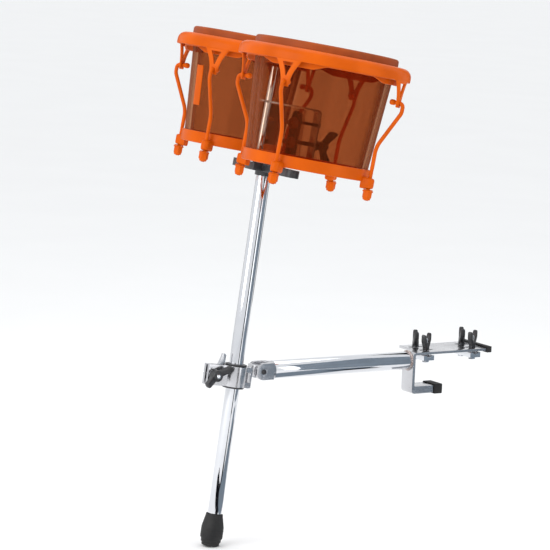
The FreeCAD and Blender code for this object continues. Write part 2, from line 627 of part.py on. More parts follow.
def strap():
    s = "Sizes."
    thick, out, high = f"{s}strap_thick", f"{s}strap_out", f"{s}strap_high"
    back = f"{s}strap_back"
    frame = plate("strap_frame", "XZ_Plane", [
        (back, "0"), (out, "0"), (out, high), (back, high), (back, f"{high} - {thick}"),
        (f"{out} - {thick}", f"{high} - {thick}"), (f"{out} - {thick}", thick),
        (back, thick),
    ], f"{s}strap_wide")
    for z, inner_z in (("0", thick), (high, f"{high} - {thick}")):
        frame = rounded(frame, f"{s}strap_round", side_edge(out, z))
        frame = rounded(frame, f"{s}strap_round - {thick}",
                        side_edge(f"{out} - {thick}", inner_z))
    frame.Placement = at(y=f"{s}strap_wide / 2")
    holes = [cylinder("strap_rod_hole", f"{s}rod_radius + {RUN}", "200",
                      (f"{s}rod_at", 0, -40)),
             cylinder("strap_screw_hole", f"{s}screw_radius + {RUN}", "40",
                      (f"{out} - 20", 0, f"{s}screw_at"), X)]
    for where in ("low", "high"):
        holes.append(cylinder(f"strap_guide_{where}", f"{s}guide_radius + {RUN}", "40",
                              (f"{out} - 20", 0, f"{s}guide_{where}"), X))
    piece("block_strap", cut("strap", frame, *holes), HEAD)
    rod = cylinder("gate", f"{s}rod_radius", f"{s}rod_top + {s}rod_low",
                   (f"{s}rod_at", 0, f"-{s}rod_low"))
    piece("gate_rod", rod, HEAD)
    boss = cylinder("screw_boss", f"{s}boss_wide / 2", f"{s}boss_thick",
                    (out, 0, f"{s}screw_at"), X)
    bore = cylinder("screw_boss_bore", f"{s}screw_radius + {RUN}", "40",
                    (f"{out} - 10", 0, f"{s}screw_at"), X)
    piece("pad_screw_boss", cut("screw_boss_cut", boss, bore), HEAD)


def stadium(name, x, thickness, wide):
    """An upright pad with round ends, its face normal to X."""
    s = "Sizes."
    middle = f"{s}pad_low + {s}pad_tall / 2"
    reach = f"({s}pad_tall - {s}pad_wide) / 2"
    joined = [box(name + "_middle", (x, f"-{wide} / 2", f"{middle} - {reach}"),
                  (thickness, wide, f"2 * {reach}"))]
    for where, sign in (("low", "-"), ("high", "+")):
        joined.append(cylinder(f"{name}_{where}", f"{wide} / 2", thickness,
                               (x, 0, f"{middle} {sign} {reach}"), X))
    return fuse(name, *joined)


def pad():
    s = "Sizes."
    plate_at = f"{s}pad_face + {s}pad_rubber_thick"
    rubber = stadium("rubber", f"{s}pad_face", f"{s}pad_rubber_thick", f"{s}pad_wide")
    piece("pad_rubber", rubber, HEAD)
    backing = stadium("backing", plate_at, f"{s}pad_plate_thick", f"({s}pad_wide - 2)")
    start = f"{plate_at} + {s}pad_plate_thick"
    piece("pad_plate", backing, HEAD)
    pins = []
    for where in ("low", "high"):
        z = f"{s}guide_{where}"
        shank = cylinder(f"guide_{where}", f"{s}guide_radius", f"{s}guide_long",
                         (start, 0, z), X)
        head = cylinder(f"guide_head_{where}", f"{s}guide_head_radius",
                        f"{s}guide_head_thick", (f"{start} + {s}guide_long", 0, z), X)
        pins.append(fuse(f"guide_pin_{where}", shank, head))
    piece("pad_guide_pins", group("guide_pins", *pins), HEAD)
    thread = cylinder("pad_screw_thread", f"{s}screw_radius", f"{s}screw_long",
                      (f"{start} + {s}body_gap", 0, f"{s}screw_at"), X)
    piece("pad_screw", thread, HEAD)
    wing = winged("pad_wing_plate", "wing", f"{s}screw_radius")
    hub = f"{start} + {s}body_gap + {s}screw_long - {s}wing_hub_long - 2"
    turn = Rotation(X, size("pad_wing_rest_deg")) * along(X)
    wing.Placement = at(hub, 0, f"{s}screw_at", turn)
    piece("pad_wing", wing, HEAD)


# ---------------------------------------------------------------- drums
def shell_cone(name, drum, out, y):
    """The shell's outer cone, made larger all round by a gap."""
    s = "Sizes."
    return cone(name, f"{s}{drum}_bottom_radius + {out}", f"{s}{drum}_top_radius + {out}",
                f"{s}drum_high - {s}{drum}_low", (0, y, f"{s}{drum}_low"))


def bolt_places(drum):
    """Where the block's bolts cross a drum's wall: heights and the spot face's plane."""
    wall, foot = size("shell_wall"), size(f"{drum}_low")
    top, low = size(f"{drum}_top_radius"), size(f"{drum}_bottom_radius")
    off = (size("block_back") + size("block_front")) / 2
    places = []
    for height in (size("block_bolt_low"), size("block_bolt_high")):
        share = (height - foot) / (size("drum_high") - foot)
        radius = low + (top - low) * share - wall
        spot = math.sqrt(radius ** 2 - (off - size("spot_radius")) ** 2)
        side = math.sqrt(radius ** 2 - (off + size("spot_radius")) ** 2)
        places.append((off, height, min(spot, side) + wall * 0.12))
    return places


def shell(drum, y, towards):
    s = "Sizes."
    low, high = f"{s}{drum}_low", f"{s}drum_high"
    bottom, top, wall = (f"{s}{drum}_bottom_radius", f"{s}{drum}_top_radius",
                         f"{s}shell_wall")
    body = turned(f"{drum}_shell_turned", [
        (f"{bottom} - {wall}", low), (bottom, low), (top, high), (f"{top} - {wall}", high),
    ])
    body = rounded(body, "2", ring_edge(top, high))
    body.Placement = at(y=y)
    holes = []
    direction = Y * towards
    for n, (off, height, spot) in enumerate(bolt_places(drum)):
        holes.append(cylinder(f"{drum}_bolt_hole_{n}", f"{s}block_bolt_radius + {RUN}",
                              "120", (off, y, height), direction))
        holes.append(cylinder(f"{drum}_spot_{n}", f"{s}spot_radius", f"{spot}",
                              (off, y, height), direction))
    piece(f"{drum}_shell", cut(f"{drum}_shell_cut", body, *holes), HEAD)


def head_and_hoop(drum, y):
    s = "Sizes."
    top, high, skin = f"{s}{drum}_top_radius", f"{s}drum_high", f"{s}skin_thick"
    body = turned(f"{drum}_skin", [
        ("0", high), (top, high), (top, f"{high} - {s}skirt_deep"),
        (f"{top} + {skin}", f"{high} - {s}skirt_deep"),
        (f"{top} + {skin}", f"{high} + {skin}"), ("0", f"{high} + {skin}"),
    ])
    body = rounded(body, "1.5", ring_edge(f"{top} + {skin}", f"{high} + {skin}"))
    body.Placement = at(y=y)
    piece(f"{drum}_head", body, HEAD)
    hoop = doc.addObject("Part::Torus", f"{drum}_hoop_ring")
    bind(hoop, Radius1=f"{top} + {skin} + {s}hoop_radius", Radius2=f"{s}hoop_radius")
    under = f"{high} - {s}rim_drop - {s}rim_skin + 1"
    hoop.Placement = at(0, y, f"{under} - {s}hoop_radius - 0.1")
    piece(f"{drum}_flesh_hoop", hoop, HEAD)


def ear(drum, n):
    """One tapered ear, drawn facing +X, hanging from the outer edge of the rim's roll."""
    s = "Sizes."
    high = f"{s}drum_high"
    reach = f"{s}{drum}_top_radius + {s}rim_overhang - {s}ear_thick"
    blade = plate(f"{drum}_ear_{n}", "YZ_Plane", [
        (f"-{s}ear_wide / 2", f"{high} - {s}ear_top_drop"),
        (f"-{s}ear_wide / 2", f"{high} - {s}ear_top_drop - {s}ear_side"),
        (f"-{s}ear_tip / 2", f"{high} - {s}ear_foot_drop"),
        (f"{s}ear_tip / 2", f"{high} - {s}ear_foot_drop"),
        (f"{s}ear_wide / 2", f"{high} - {s}ear_top_drop - {s}ear_side"),
        (f"{s}ear_wide / 2", f"{high} - {s}ear_top_drop"),
    ], f"{s}ear_thick")
    blade.Placement = at(reach)
    eye = cylinder(f"{drum}_eye_{n}", f"{s}hook_radius + 0.15", "40",
                   (f"{reach} - 20", 0, f"{high} - {s}ear_eye_drop"), X)
    return blade, eye


def lug_turn(n):
    return Placement(Vector(), Rotation(Z, size("lug_angle_deg") + n * 360 / LUGS))


def rim(drum, y):
    s = "Sizes."
    high, top = f"{s}drum_high", f"{s}{drum}_top_radius"
    lip, out, skin = f"{high} - {s}rim_drop", f"{top} + {s}rim_overhang", f"{s}rim_skin"
    inner, collar = f"{top} + {s}skin_thick + 0.6", f"{top} + {s}collar_gap"
    under = f"{lip} - {s}rim_roll_deep"
    outer_collar = f"{collar} + {s}collar_thick"
    body = turned(f"{drum}_rim_turned", [
        (inner, lip), (out, lip), (out, under), (f"{out} - {skin}", under),
        (f"{out} - {skin}", f"{lip} - {skin}"), (outer_collar, f"{lip} - {skin}"),
        (outer_collar, f"{high} - {s}collar_foot"), (collar, f"{high} - {s}collar_foot"),
        (collar, f"{lip} - {skin} + 1"), (inner, f"{lip} - {skin} + 1"),
    ])
    body = rounded(body, f"{s}rim_round", ring_edge(out, lip))
    body = rounded(body, f"{s}rim_round - {skin}",
                   ring_edge(f"{out} - {skin}", f"{lip} - {skin}"))
    ears, eyes = [], []
    for n in range(LUGS):
        for item, store in zip(ear(drum, n), (ears, eyes)):
            item.Placement = lug_turn(n) * item.Placement
            store.append(item)
    room = cylinder(f"{drum}_rim_room", collar, "400", (0, 0, f"{lip} - 400 - 2"))
    whole = cut(f"{drum}_rim_cut", fuse(f"{drum}_rim_solid", body, *ears), room, *eyes)
    whole.Placement = at(y=y)
    piece(f"{drum}_rim", whole, HEAD)


def hooks(drum, y):
    """Tension hooks: up from the lug, out past the ear and back through its eye."""
    lug = size(f"{drum}_bottom_radius") + size("lug_out")
    out = size(f"{drum}_top_radius") + size("rim_overhang") + size("hook_clear")
    eye = size("drum_high") - size("ear_eye_drop")
    end = size(f"{drum}_top_radius") + size("hook_end")
    low = size(f"{drum}_low") - size("hook_below")
    route = [Vector(lug, 0, low), Vector(lug, 0, eye - size("hook_turn_out")),
             Vector(out, 0, eye - size("hook_turn_up")), Vector(out, 0, eye),
             Vector(end, 0, eye)]
    rod = bent_rod(size("hook_radius"), route, (40, 14, size("hook_clear")))
    knob = Part.makeCylinder(size("knob_radius"), size("knob_long"), route[-1], -X)
    shape = rod.fuse(knob)
    turns = []
    for n in range(LUGS):
        solid = shape.copy()
        solid.Placement = lug_turn(n)
        turns.append(solid)
    together = feature(f"{drum}_hook_rods", Part.makeCompound(turns))
    together.Placement = at(y=y)
    piece(f"{drum}_tension_hooks", together, HEAD)


def bottom_ring(drum, y):
    s = "Sizes."
    low = f"{s}{drum}_low"
    inner = f"{s}{drum}_bottom_radius + {s}ring_gap"
    outer = f"({inner} + {s}ring_thick)"
    body = turned(f"{drum}_ring_turned", [
        (f"{s}{drum}_bottom_radius - {s}ring_lip_in", f"{low} - {s}ring_lip"),
        (outer, f"{low} - {s}ring_lip"), (outer, f"{low} + {s}ring_tall - {s}ring_lip"),
        (inner, f"{low} + {s}ring_tall - {s}ring_lip"), (inner, low),
        (f"{s}{drum}_bottom_radius - {s}ring_lip_in", low),
    ])
    lugs, holes = [], []
    reach = f"{s}{drum}_bottom_radius + {s}lug_out"
    for n in range(LUGS):
        block = box(f"{drum}_lug_{n}", (f"{outer} - 0.8", f"-{s}lug_wide / 2",
                                        f"{low} - {s}lug_drop"),
                    (f"{reach} + {s}lug_over - {outer} + 0.8", f"{s}lug_wide",
                     f"{s}lug_rise + {s}lug_drop"))
        hole = cylinder(f"{drum}_lug_hole_{n}", f"{s}hook_radius + 0.1", "60",
                        (reach, 0, f"{low} - 30"))
        for item, store in ((block, lugs), (hole, holes)):
            item.Placement = lug_turn(n) * item.Placement
            store.append(item)
    whole = cut(f"{drum}_ring_cut", fuse(f"{drum}_ring_solid", body, *lugs), *holes)
    whole.Placement = at(y=y)
    piece(f"{drum}_bottom_ring", whole, HEAD)


def tuning_nuts(drum, y):
    s = "Sizes."
    reach = f"{s}{drum}_bottom_radius + {s}lug_out"
    seat = f"{s}{drum}_low - {s}lug_drop - {s}lug_washer_thick"
    washers = []
    for n in range(LUGS):
        disc = cylinder(f"{drum}_disc_{n}", f"{s}lug_washer_radius",
                        f"{s}lug_washer_thick", (reach, 0, seat))
        bore = cylinder(f"{drum}_disc_bore_{n}", f"{s}hook_radius + 0.1", "40",
                        (reach, 0, f"{seat} - 20"))
        washer = cut(f"{drum}_washer_{n}", disc, bore)
        washer.Placement = at(y=y) * lug_turn(n)
        washers.append(washer)
        barrel = prism(f"{drum}_barrel_{n}", f"{s}nut_radius * 1.12",
                       f"{s}nut_tall - 3")
        barrel.Placement = at(reach, 0, f"{seat} - {s}body_gap - {s}nut_tall + 3")
        tip = cylinder(f"{drum}_tip_{n}", f"{s}nut_radius - 1", "4",
                       (reach, 0, f"{seat} - {s}body_gap - {s}nut_tall"))
        thread = cylinder(f"{drum}_thread_{n}", f"{s}hook_radius + {RUN}", "60",
                          (reach, 0, "-40"))
        nut = cut(f"{drum}_nut_{n}", fuse(f"{drum}_nut_solid_{n}", barrel, tip), thread)
        nut.Placement = at(y=y) * lug_turn(n)
        piece(f"{drum}_tuning_nut_{n + 1}", nut, HEAD)
    piece(f"{drum}_lug_washers", group(f"{drum}_washers", *washers), HEAD)


def block():
    s = "Sizes."
    blank = box("block_blank", (f"{s}block_back", f"{s}large_at", f"{s}block_low"),
                (f"{s}block_front - {s}block_back", f"{s}small_at - {s}large_at",
                 f"{s}block_high - {s}block_low"))
    cutters = []
    for drum in ("large", "small"):
        y = f"{s}{drum}_at"
        cutters.append(shell_cone(f"block_room_{drum}", drum, f"{s}block_gap", y))
        radius = f"{s}{drum}_bottom_radius + {s}ring_gap + {s}ring_thick + {s}block_gap"
        cutters.append(cylinder(f"block_ring_room_{drum}", radius,
                                f"{s}{drum}_low + {s}ring_tall - {s}ring_lip + 30.3",
                                (0, y, -30)))
    bolts, washers = [], []
    for drum, towards in (("large", 1), ("small", -1)):
        y = f"{s}{drum}_at"
        for n, (off, height, spot) in enumerate(bolt_places(drum)):
            face = size(f"{drum}_at") + towards * spot
            axis = Y * towards
            seat = face - towards * size("block_washer_thick")
            cutters.append(cylinder(f"block_hole_{drum}{n}",
                                    f"{s}block_bolt_radius + {RUN}",
                                    f"{s}block_bolt_long + 12", (off, face - towards * 10,
                                                                 height), axis))
            shank = cylinder(f"block_shank_{drum}{n}", f"{s}block_bolt_radius",
                             f"{s}block_bolt_long", (off, seat, height), axis)
            top = prism(f"block_head_{drum}{n}", f"{s}block_head_radius",
                        f"{s}block_head_thick", (off, seat, height), -axis)
            bolts.append(fuse(f"block_bolt_{drum}{n}", shank, top))
            disc = cylinder(f"block_disc_{drum}{n}", f"{s}block_washer_radius",
                            f"{s}block_washer_thick", (off, seat, height), axis)
            bore = cylinder(f"block_disc_bore_{drum}{n}", f"{s}block_bolt_radius + {RUN}",
                            "60", (off, seat - towards * 30, height), axis)
            washers.append(cut(f"block_washer_{drum}{n}", disc, bore))
    piece("centre_block", cut("block_cut", blank, *cutters), HEAD)
    piece("block_bolts", group("block_bolt_set", *bolts), HEAD)
    piece("block_washers", group("block_washer_set", *washers), HEAD)


def badge():
    """A plain plate that follows the small shell's wall."""
    s = "Sizes."
    y = f"{s}small_at"
    outer = shell_cone("badge_outer", "small", f"{s}badge_thick", 0)
    inner = shell_cone("badge_inner", "small", "0", 0)
    skin = cut("badge_skin", outer, inner)
    window = box("badge_window", ("0", f"-{s}badge_wide / 2", f"{s}badge_low"),
                 ("200", f"{s}badge_wide", f"{s}badge_tall"))
    turn = Placement(Vector(), Rotation(Z, size("badge_angle_deg")))
    window.Placement = turn * window.Placement
    plate_piece = common("badge_plate_cut", skin, window)
    plate_piece.Placement = at(y=y)
    piece("small_badge", plate_piece, HEAD)


def drum(name, towards):
    y = f"Sizes.{name}_at"
    shell(name, y, towards)
    head_and_hoop(name, y)
    rim(name, y)
    hooks(name, y)
    bottom_ring(name, y)
    tuning_nuts(name, y)


def check():
    """Stops before anything is written if any object failed."""
    doc.recompute()
    for item in doc.Objects:
        if "Invalid" in item.State or "Error" in item.State:
            raise SystemExit(f"{item.Name} is {item.State}")
    labels = [item.Label for item in pieces]
    if len(labels) != len(set(labels)) or len(labels) > 60:
        raise SystemExit(f"{len(labels)} labels, {len(set(labels))} different")
    for item in pieces:
        if item.Shape.isNull() or not item.Shape.isValid() or not item.Shape.Solids:
            raise SystemExit(f"{item.Label} has no valid solid")


mount_bracket()
bracket_caps()
for number, letter in enumerate(UNITS):
    clamp_unit(letter, number)
arm()
rear_jaw()
front_jaw()
clamp_bolt()
bushing()
post()
crossbar()
strap()
pad()
drum("large", 1)
drum("small", -1)
block()
badge()
check()
os.makedirs("parts", exist_ok=True)
for item in pieces:
    item.Shape.exportStep(f"parts/{item.Label}.step")
    solids = len(item.Shape.Solids)
    print(f"{item.Label}: {solids} solids, {item.Shape.Volume / 1000:.1f} cm3")
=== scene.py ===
import json
import math

import bmesh
import bpy
from mathutils import Matrix, Vector

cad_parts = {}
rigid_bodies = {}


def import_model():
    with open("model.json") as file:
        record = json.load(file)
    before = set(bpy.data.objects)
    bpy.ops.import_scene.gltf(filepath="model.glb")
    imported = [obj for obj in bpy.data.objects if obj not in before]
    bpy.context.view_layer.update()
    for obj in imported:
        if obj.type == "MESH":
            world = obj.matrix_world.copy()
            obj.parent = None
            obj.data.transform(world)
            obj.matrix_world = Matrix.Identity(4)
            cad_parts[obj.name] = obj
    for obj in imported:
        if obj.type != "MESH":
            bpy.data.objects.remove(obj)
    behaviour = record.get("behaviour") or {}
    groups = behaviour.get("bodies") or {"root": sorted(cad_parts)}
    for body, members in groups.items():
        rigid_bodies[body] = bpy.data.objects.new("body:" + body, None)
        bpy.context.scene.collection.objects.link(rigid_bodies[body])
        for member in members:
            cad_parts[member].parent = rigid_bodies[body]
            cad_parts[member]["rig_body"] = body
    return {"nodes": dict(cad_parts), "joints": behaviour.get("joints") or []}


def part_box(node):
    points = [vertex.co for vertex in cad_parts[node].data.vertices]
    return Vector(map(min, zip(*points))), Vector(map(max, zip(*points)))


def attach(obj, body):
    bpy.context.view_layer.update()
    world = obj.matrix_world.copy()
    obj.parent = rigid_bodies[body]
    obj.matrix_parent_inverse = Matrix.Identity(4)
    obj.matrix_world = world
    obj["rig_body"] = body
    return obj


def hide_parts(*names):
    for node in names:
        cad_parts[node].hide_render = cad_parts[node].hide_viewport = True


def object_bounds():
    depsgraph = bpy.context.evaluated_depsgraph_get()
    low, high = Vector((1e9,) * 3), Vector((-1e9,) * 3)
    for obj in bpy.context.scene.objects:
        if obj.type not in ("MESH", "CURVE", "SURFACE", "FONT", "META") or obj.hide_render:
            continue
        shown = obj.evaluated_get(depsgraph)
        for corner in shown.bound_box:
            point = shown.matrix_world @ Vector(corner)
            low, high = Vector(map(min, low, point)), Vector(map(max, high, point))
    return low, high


# Looks for the bongo drums on their clamp stand. Lengths are in millimetres inside the
# mesh functions and in metres in the scene; MM turns one into the other.
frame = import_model()
cad_low, cad_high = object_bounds()
MM = 0.001
TURN = 2 * math.pi
JOINTS = {joint["name"]: joint for joint in frame["joints"]}


# ---------------------------------------------------------------- frames
def pivot(name):
    return Vector(JOINTS[name]["pos_m"])


def heading(name):
    return Vector(JOINTS[name]["axis"]).normalized()


def basis(origin, x, z):
    """The frame with its Z along z, and its X as near x as that leaves."""
    y = z.cross(x).normalized()
    matrix = Matrix((y.cross(z), y, z)).transposed().to_4x4()
    matrix.translation = origin
    return matrix


def shift(x=0.0, y=0.0, z=0.0):
    return Matrix.Translation(Vector((x, y, z)) * MM)


def spin(degrees, axis):
    return Matrix.Rotation(math.radians(degrees), 4, axis)


ROD_BEHIND = 14.5
POST = basis(pivot("post_turn"), heading("post_tilt").cross(heading("post_turn")), heading("post_turn"))
HEAD = basis(pivot("gate_rod_turn"), heading("pad_slide"), heading("gate_rod_turn")) @ shift(ROD_BEHIND)
LUGS = 4
LUG_OUT = 15
DRUM_LOW = {"large": 7, "small": 15}
DRUM_HIGH, SHELL_WALL = 190, 9
TAPER = {"large": 15, "small": 14}


def drum_frame(drum):
    """The drum's own frame, on its axis at the block clamp's level, X towards its first lug."""
    places = [pivot(f"{drum}_nut_turn_{n + 1}") for n in range(LUGS)]
    centre = sum(places, Vector()) / LUGS
    return basis(centre, places[0] - centre, heading("gate_rod_turn")), (places[0] - centre).length / MM


# ---------------------------------------------------------------- mesh tools
def skin(rings, closed=False, capped=True):
    """Points and faces of a surface through rings of equal count."""
    count = len(rings[0])
    points = [Vector(point) for ring in rings for point in ring]
    faces = []
    for index in range(len(rings) if closed else len(rings) - 1):
        after = (index + 1) % len(rings)
        for side in range(count):
            beyond = (side + 1) % count
            faces.append((index * count + side, index * count + beyond,
                          after * count + beyond, after * count + side))
    if capped and not closed:
        faces.append(tuple(range(count)))
        faces.append(tuple((len(rings) - 1) * count + side for side in range(count)))
    return points, faces


def turned(profile, sides=96, closed=True, wobble=None):
    """A surface turned about Z from (radius, height) points; wobble(angle, height) scales the radius."""
    rings = []
    for radius, height in profile:
        ring = []
        for side in range(sides):
            angle = TURN * side / sides
            reach = radius * (wobble(angle, height) if wobble else 1)
            ring.append((reach * math.cos(angle), reach * math.sin(angle), height))
        rings.append(ring)
    return skin(rings, closed)


def rounded(points, bends, closed=True, steps=6):
    """An outline with an arc of its own radius at each corner."""
    bends = bends if isinstance(bends, (list, tuple)) else [bends] * len(points)
    outline = []
    for index, (corner, bend) in enumerate(zip(points, bends)):
        here = Vector(corner)
        if bend == 0 or (not closed and index in (0, len(points) - 1)):
            outline.append(here)
            continue
        back = (Vector(points[index - 1]) - here).normalized()
        ahead = (Vector(points[(index + 1) % len(points)]) - here).normalized()
        half = back.angle(ahead) / 2
        middle = here + (back + ahead).normalized() * bend / math.sin(half)
        enter = (here + back * bend / math.tan(half) - middle).normalized()
        leave = (here + ahead * bend / math.tan(half) - middle).normalized()
        for step in range(steps + 1):
            share = step / steps
            outline.append(middle + enter.slerp(leave, share).normalized() * bend)
    return outline


def divided(path, spacing):
    """A path with its runs divided, so that a thread can be formed on it."""
    points = [path[0]]
    for start, end in zip(path, path[1:]):
        count = max(1, math.ceil((end - start).length / spacing))
        points.extend(start.lerp(end, step / count) for step in range(1, count + 1))
    return points


def rod(path, radius, sides=18):
    """A round rod along a path in the XZ plane; radius(point, angle) may vary."""
    rings = []
    for index, point in enumerate(path):
        ahead = path[min(index + 1, len(path) - 1)]
        behind = path[max(index - 1, 0)]
        across = (ahead - behind).normalized().cross(Vector((0, 1, 0)))
        ring = []
        for side in range(sides):
            angle = TURN * side / sides
            reach = radius(point, angle)
            ring.append(point + (Vector((0, math.sin(angle), 0)) + across * math.cos(angle)) * reach)
        rings.append(ring)
    return skin(rings)


def thread_depth(along, angle, pitch, depth):
    """How deep a helical thread cuts at a place along its rod."""
    phase = (along / pitch - angle / TURN) % 1
    return depth * abs(2 * phase - 1)


def threaded(radius, low, high, pitch=1.25, depth=0.45, sides=24):
    """A threaded rod along Z with chamfered ends."""
    rows = math.ceil((high - low) / pitch * 6)
    chamfer = 1.0
    rings = []
    for row in range(rows + 1):
        height = low + (high - low) * row / rows
        edge = max(0, chamfer - min(height - low, high - height)) * 0.7
        ring = []
        for side in range(sides):
            angle = TURN * side / sides
            reach = radius - thread_depth(height, angle, pitch, depth) - edge
            ring.append((reach * math.cos(angle), reach * math.sin(angle), height))
        rings.append(ring)
    return skin(rings)


def hexagonal(low, high):
    """A wobble that makes a turned shape six-sided between two heights."""
    def wobble(angle, height):
        if not low <= height <= high:
            return 1
        return math.cos(math.pi / 6) / math.cos((angle % (TURN / 6)) - math.pi / 6)
    return wobble


def superellipse(x, middle, half_thick, half_tall, sides=24, power=0.45):
    """A rounded rectangle standing across X."""
    ring = []
    for side in range(sides):
        angle = TURN * side / sides
        across, up = math.cos(angle), math.sin(angle)
        ring.append((x, half_thick * math.copysign(abs(across) ** power, across),
                     middle + half_tall * math.copysign(abs(up) ** power, up)))
    return ring


def moved(part, matrix):
    return [matrix @ point for point in part[0]], part[1]


def turned_about(part, degrees, axis="Z"):
    return moved(part, Matrix.Rotation(math.radians(degrees), 4, axis))


def mesh_from(name, parts):
    """One mesh, in metres, from (points, faces) parts in millimetres."""
    points, faces = [], []
    for part_points, part_faces in parts:
        start = len(points)
        points.extend(Vector(point) * MM for point in part_points)
        faces.extend(tuple(index + start for index in face) for face in part_faces)
    mesh = bpy.data.meshes.new(name)
    mesh.from_pydata(points, [], faces)
    shape = bmesh.new()
    shape.from_mesh(mesh)
    bmesh.ops.recalc_face_normals(shape, faces=shape.faces)
    shape.to_mesh(mesh)
    shape.free()
    return mesh


SHARP = math.radians(38)


def shade(mesh):
    mesh.shade_smooth()
    mesh.set_sharp_from_angle(angle=SHARP)


def keep_local(mesh, place):
    """Stores each point as it stands in its own frame, for the materials to follow."""
    back = place.inverted()
    local = mesh.attributes.new("local", "FLOAT_VECTOR", "POINT")
    for vertex, kept in zip(mesh.vertices, local.data):
        kept.vector = back @ vertex.co


def piece(name, mesh, body, look, place=Matrix.Identity(4), grain=None, stands_for=()):
    """Puts a finished mesh in the scene on its body; grain is the frame its material follows."""
    shade(mesh)
    mesh.transform(place)
    keep_local(mesh, grain or place)
    item = bpy.data.objects.new(name, mesh)
    bpy.context.scene.collection.objects.link(item)
    mesh.materials.clear()
    mesh.materials.append(LOOKS[look])
    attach(item, body)
    if stands_for:
        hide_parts(*stands_for)
    return item


def cast(mesh, voxel):
    """The mesh with its parts run together and softened, as a casting is."""
    holder = bpy.data.objects.new("casting", mesh)
    bpy.context.scene.collection.objects.link(holder)
    remesh = holder.modifiers.new("join", "REMESH")
    remesh.mode = "VOXEL"
    remesh.voxel_size = voxel * MM
    soften = holder.modifiers.new("soften", "SMOOTH")
    soften.factor = 0.5
    soften.iterations = 5
    view = bpy.context.evaluated_depsgraph_get()
    made = bpy.data.meshes.new_from_object(holder.evaluated_get(view))
    bpy.data.objects.remove(holder)
    return made


FLAT = math.radians(1.0)
EDGE = math.radians(28)
WELD = 1e-5


def edged(node, width, segments=2):
    """A CAD node's mesh cleaned to whole faces, with its edges eased."""
    shape = bmesh.new()
    shape.from_mesh(frame["nodes"][node].data)
    bmesh.ops.remove_doubles(shape, verts=shape.verts, dist=WELD)
    bmesh.ops.dissolve_limit(shape, angle_limit=FLAT, verts=shape.verts, edges=shape.edges)
    sharp = [edge for edge in shape.edges if len(edge.link_faces) == 2 and edge.calc_face_angle(0) > EDGE]
    bmesh.ops.bevel(shape, geom=sharp, offset=width * MM, segments=segments, profile=0.5,
                    affect="EDGES", clamp_overlap=True)
    bmesh.ops.recalc_face_normals(shape, faces=shape.faces)
    mesh = bpy.data.meshes.new(node + "_eased")
    shape.to_mesh(mesh)
    shape.free()
    return mesh


def eased(node, look, width=0.5, segments=2, grain=None):
    body = frame["nodes"][node]["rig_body"]
    mesh = edged(node, width, segments)
    return piece(node + "_finished", mesh, body, look, grain=grain, stands_for=(node,))


# ---------------------------------------------------------------- materials
class Look:
    """A Principled material with a few ways to add procedural detail."""

    def __init__(self, name, coordinates=None, **sockets):
        self.material = bpy.data.materials.new(name)
        self.material.use_nodes = True
        self.tree = self.material.node_tree
        self.shader = self.tree.nodes["Principled BSDF"]
        for socket, number in sockets.items():
            self.shader.inputs[socket.replace("_", " ")].default_value = number
        if coordinates:
            self.place = self.node("ShaderNodeTexCoord").outputs[coordinates]
        else:
            self.place = self.node("ShaderNodeAttribute", attribute_name="local").outputs["Vector"]

    def node(self, kind, *inputs, **settings):
        made = self.tree.nodes.new(kind)
        for setting, choice in settings.items():
            setattr(made, setting, choice)
        for socket, source in zip(made.inputs, inputs):
            if source is None:
                continue
            if isinstance(source, bpy.types.NodeSocket):
                self.tree.links.new(source, socket)
            else:
                socket.default_value = source
        return made

    def stretched(self, x, y, z):
        return self.node("ShaderNodeMapping", self.place, None, None, (x, y, z)).outputs[0]

    def noise(self, scale, detail=3.0, place=None):
        made = self.node("ShaderNodeTexNoise", place or self.place)
        made.inputs["Scale"].default_value = scale
        made.inputs["Detail"].default_value = detail
        return made.outputs["Fac"]

    def math(self, operation, *inputs):
        return self.node("ShaderNodeMath", *inputs, operation=operation).outputs[0]

    def ramp(self, source, *stops):
        """Colours or numbers by a factor, each stop as (place, value)."""
        made = self.node("ShaderNodeValToRGB", source)
        made.color_ramp.elements[0].position = stops[0][0]
        made.color_ramp.elements[1].position = stops[-1][0]
        for place, _ in stops[1:-1]:
            made.color_ramp.elements.new(place)
        for element, (_, tone) in zip(made.color_ramp.elements, stops):
            element.color = (*tone, 1) if isinstance(tone, tuple) else (tone, tone, tone, 1)
        return made.outputs["Color"]

    def set(self, socket, source):
        self.tree.links.new(source, self.shader.inputs[socket])
        return self

    def ghosted(self, tint, body):
        """Lets a tint of what is behind show through, less where the wall is seen edge-on."""
        window = self.node("ShaderNodeBsdfTransparent", tint)
        facing = self.node("ShaderNodeLayerWeight", 0.5).outputs["Facing"]
        share = self.node("ShaderNodeMapRange", facing, 0.5, 0.8, body, 0.85).outputs[0]
        mixed = self.node("ShaderNodeMixShader", share, window.outputs[0], self.shader.outputs[0])
        output = [node for node in self.tree.nodes if node.type == "OUTPUT_MATERIAL"][0]
        self.tree.links.new(mixed.outputs[0], output.inputs["Surface"])
        return self

    def bump(self, height, strength, distance=0.0005, under=None):
        made = self.node("ShaderNodeBump")
        made.inputs["Strength"].default_value = strength
        made.inputs["Distance"].default_value = distance
        self.tree.links.new(height, made.inputs["Height"])
        if under:
            self.tree.links.new(under, made.inputs["Normal"])
        self.tree.links.new(made.outputs[0], self.shader.inputs["Normal"])
        return made.outputs[0]


def chrome():
    """Bright plate: a slight haze that varies, faint ripples and hairline marks."""
    tone, rough = 0.74, 0.045
    look = Look("chrome", Metallic=1.0)
    haze = look.noise(35, 4)
    hair = look.noise(900, 2, look.stretched(1, 1, 0.04))
    look.set("Base Color", look.ramp(haze, (0.3, (tone * 0.93, tone * 0.95, tone)),
                                     (0.75, (tone, tone * 1.01, tone * 1.04))))
    look.set("Roughness", look.ramp(haze, (0.3, rough), (0.8, rough * 2.2)))
    ripple = look.bump(look.noise(14, 1), 0.10, 0.002)
    look.bump(hair, 0.03, 0.0001, ripple)
    return look.material


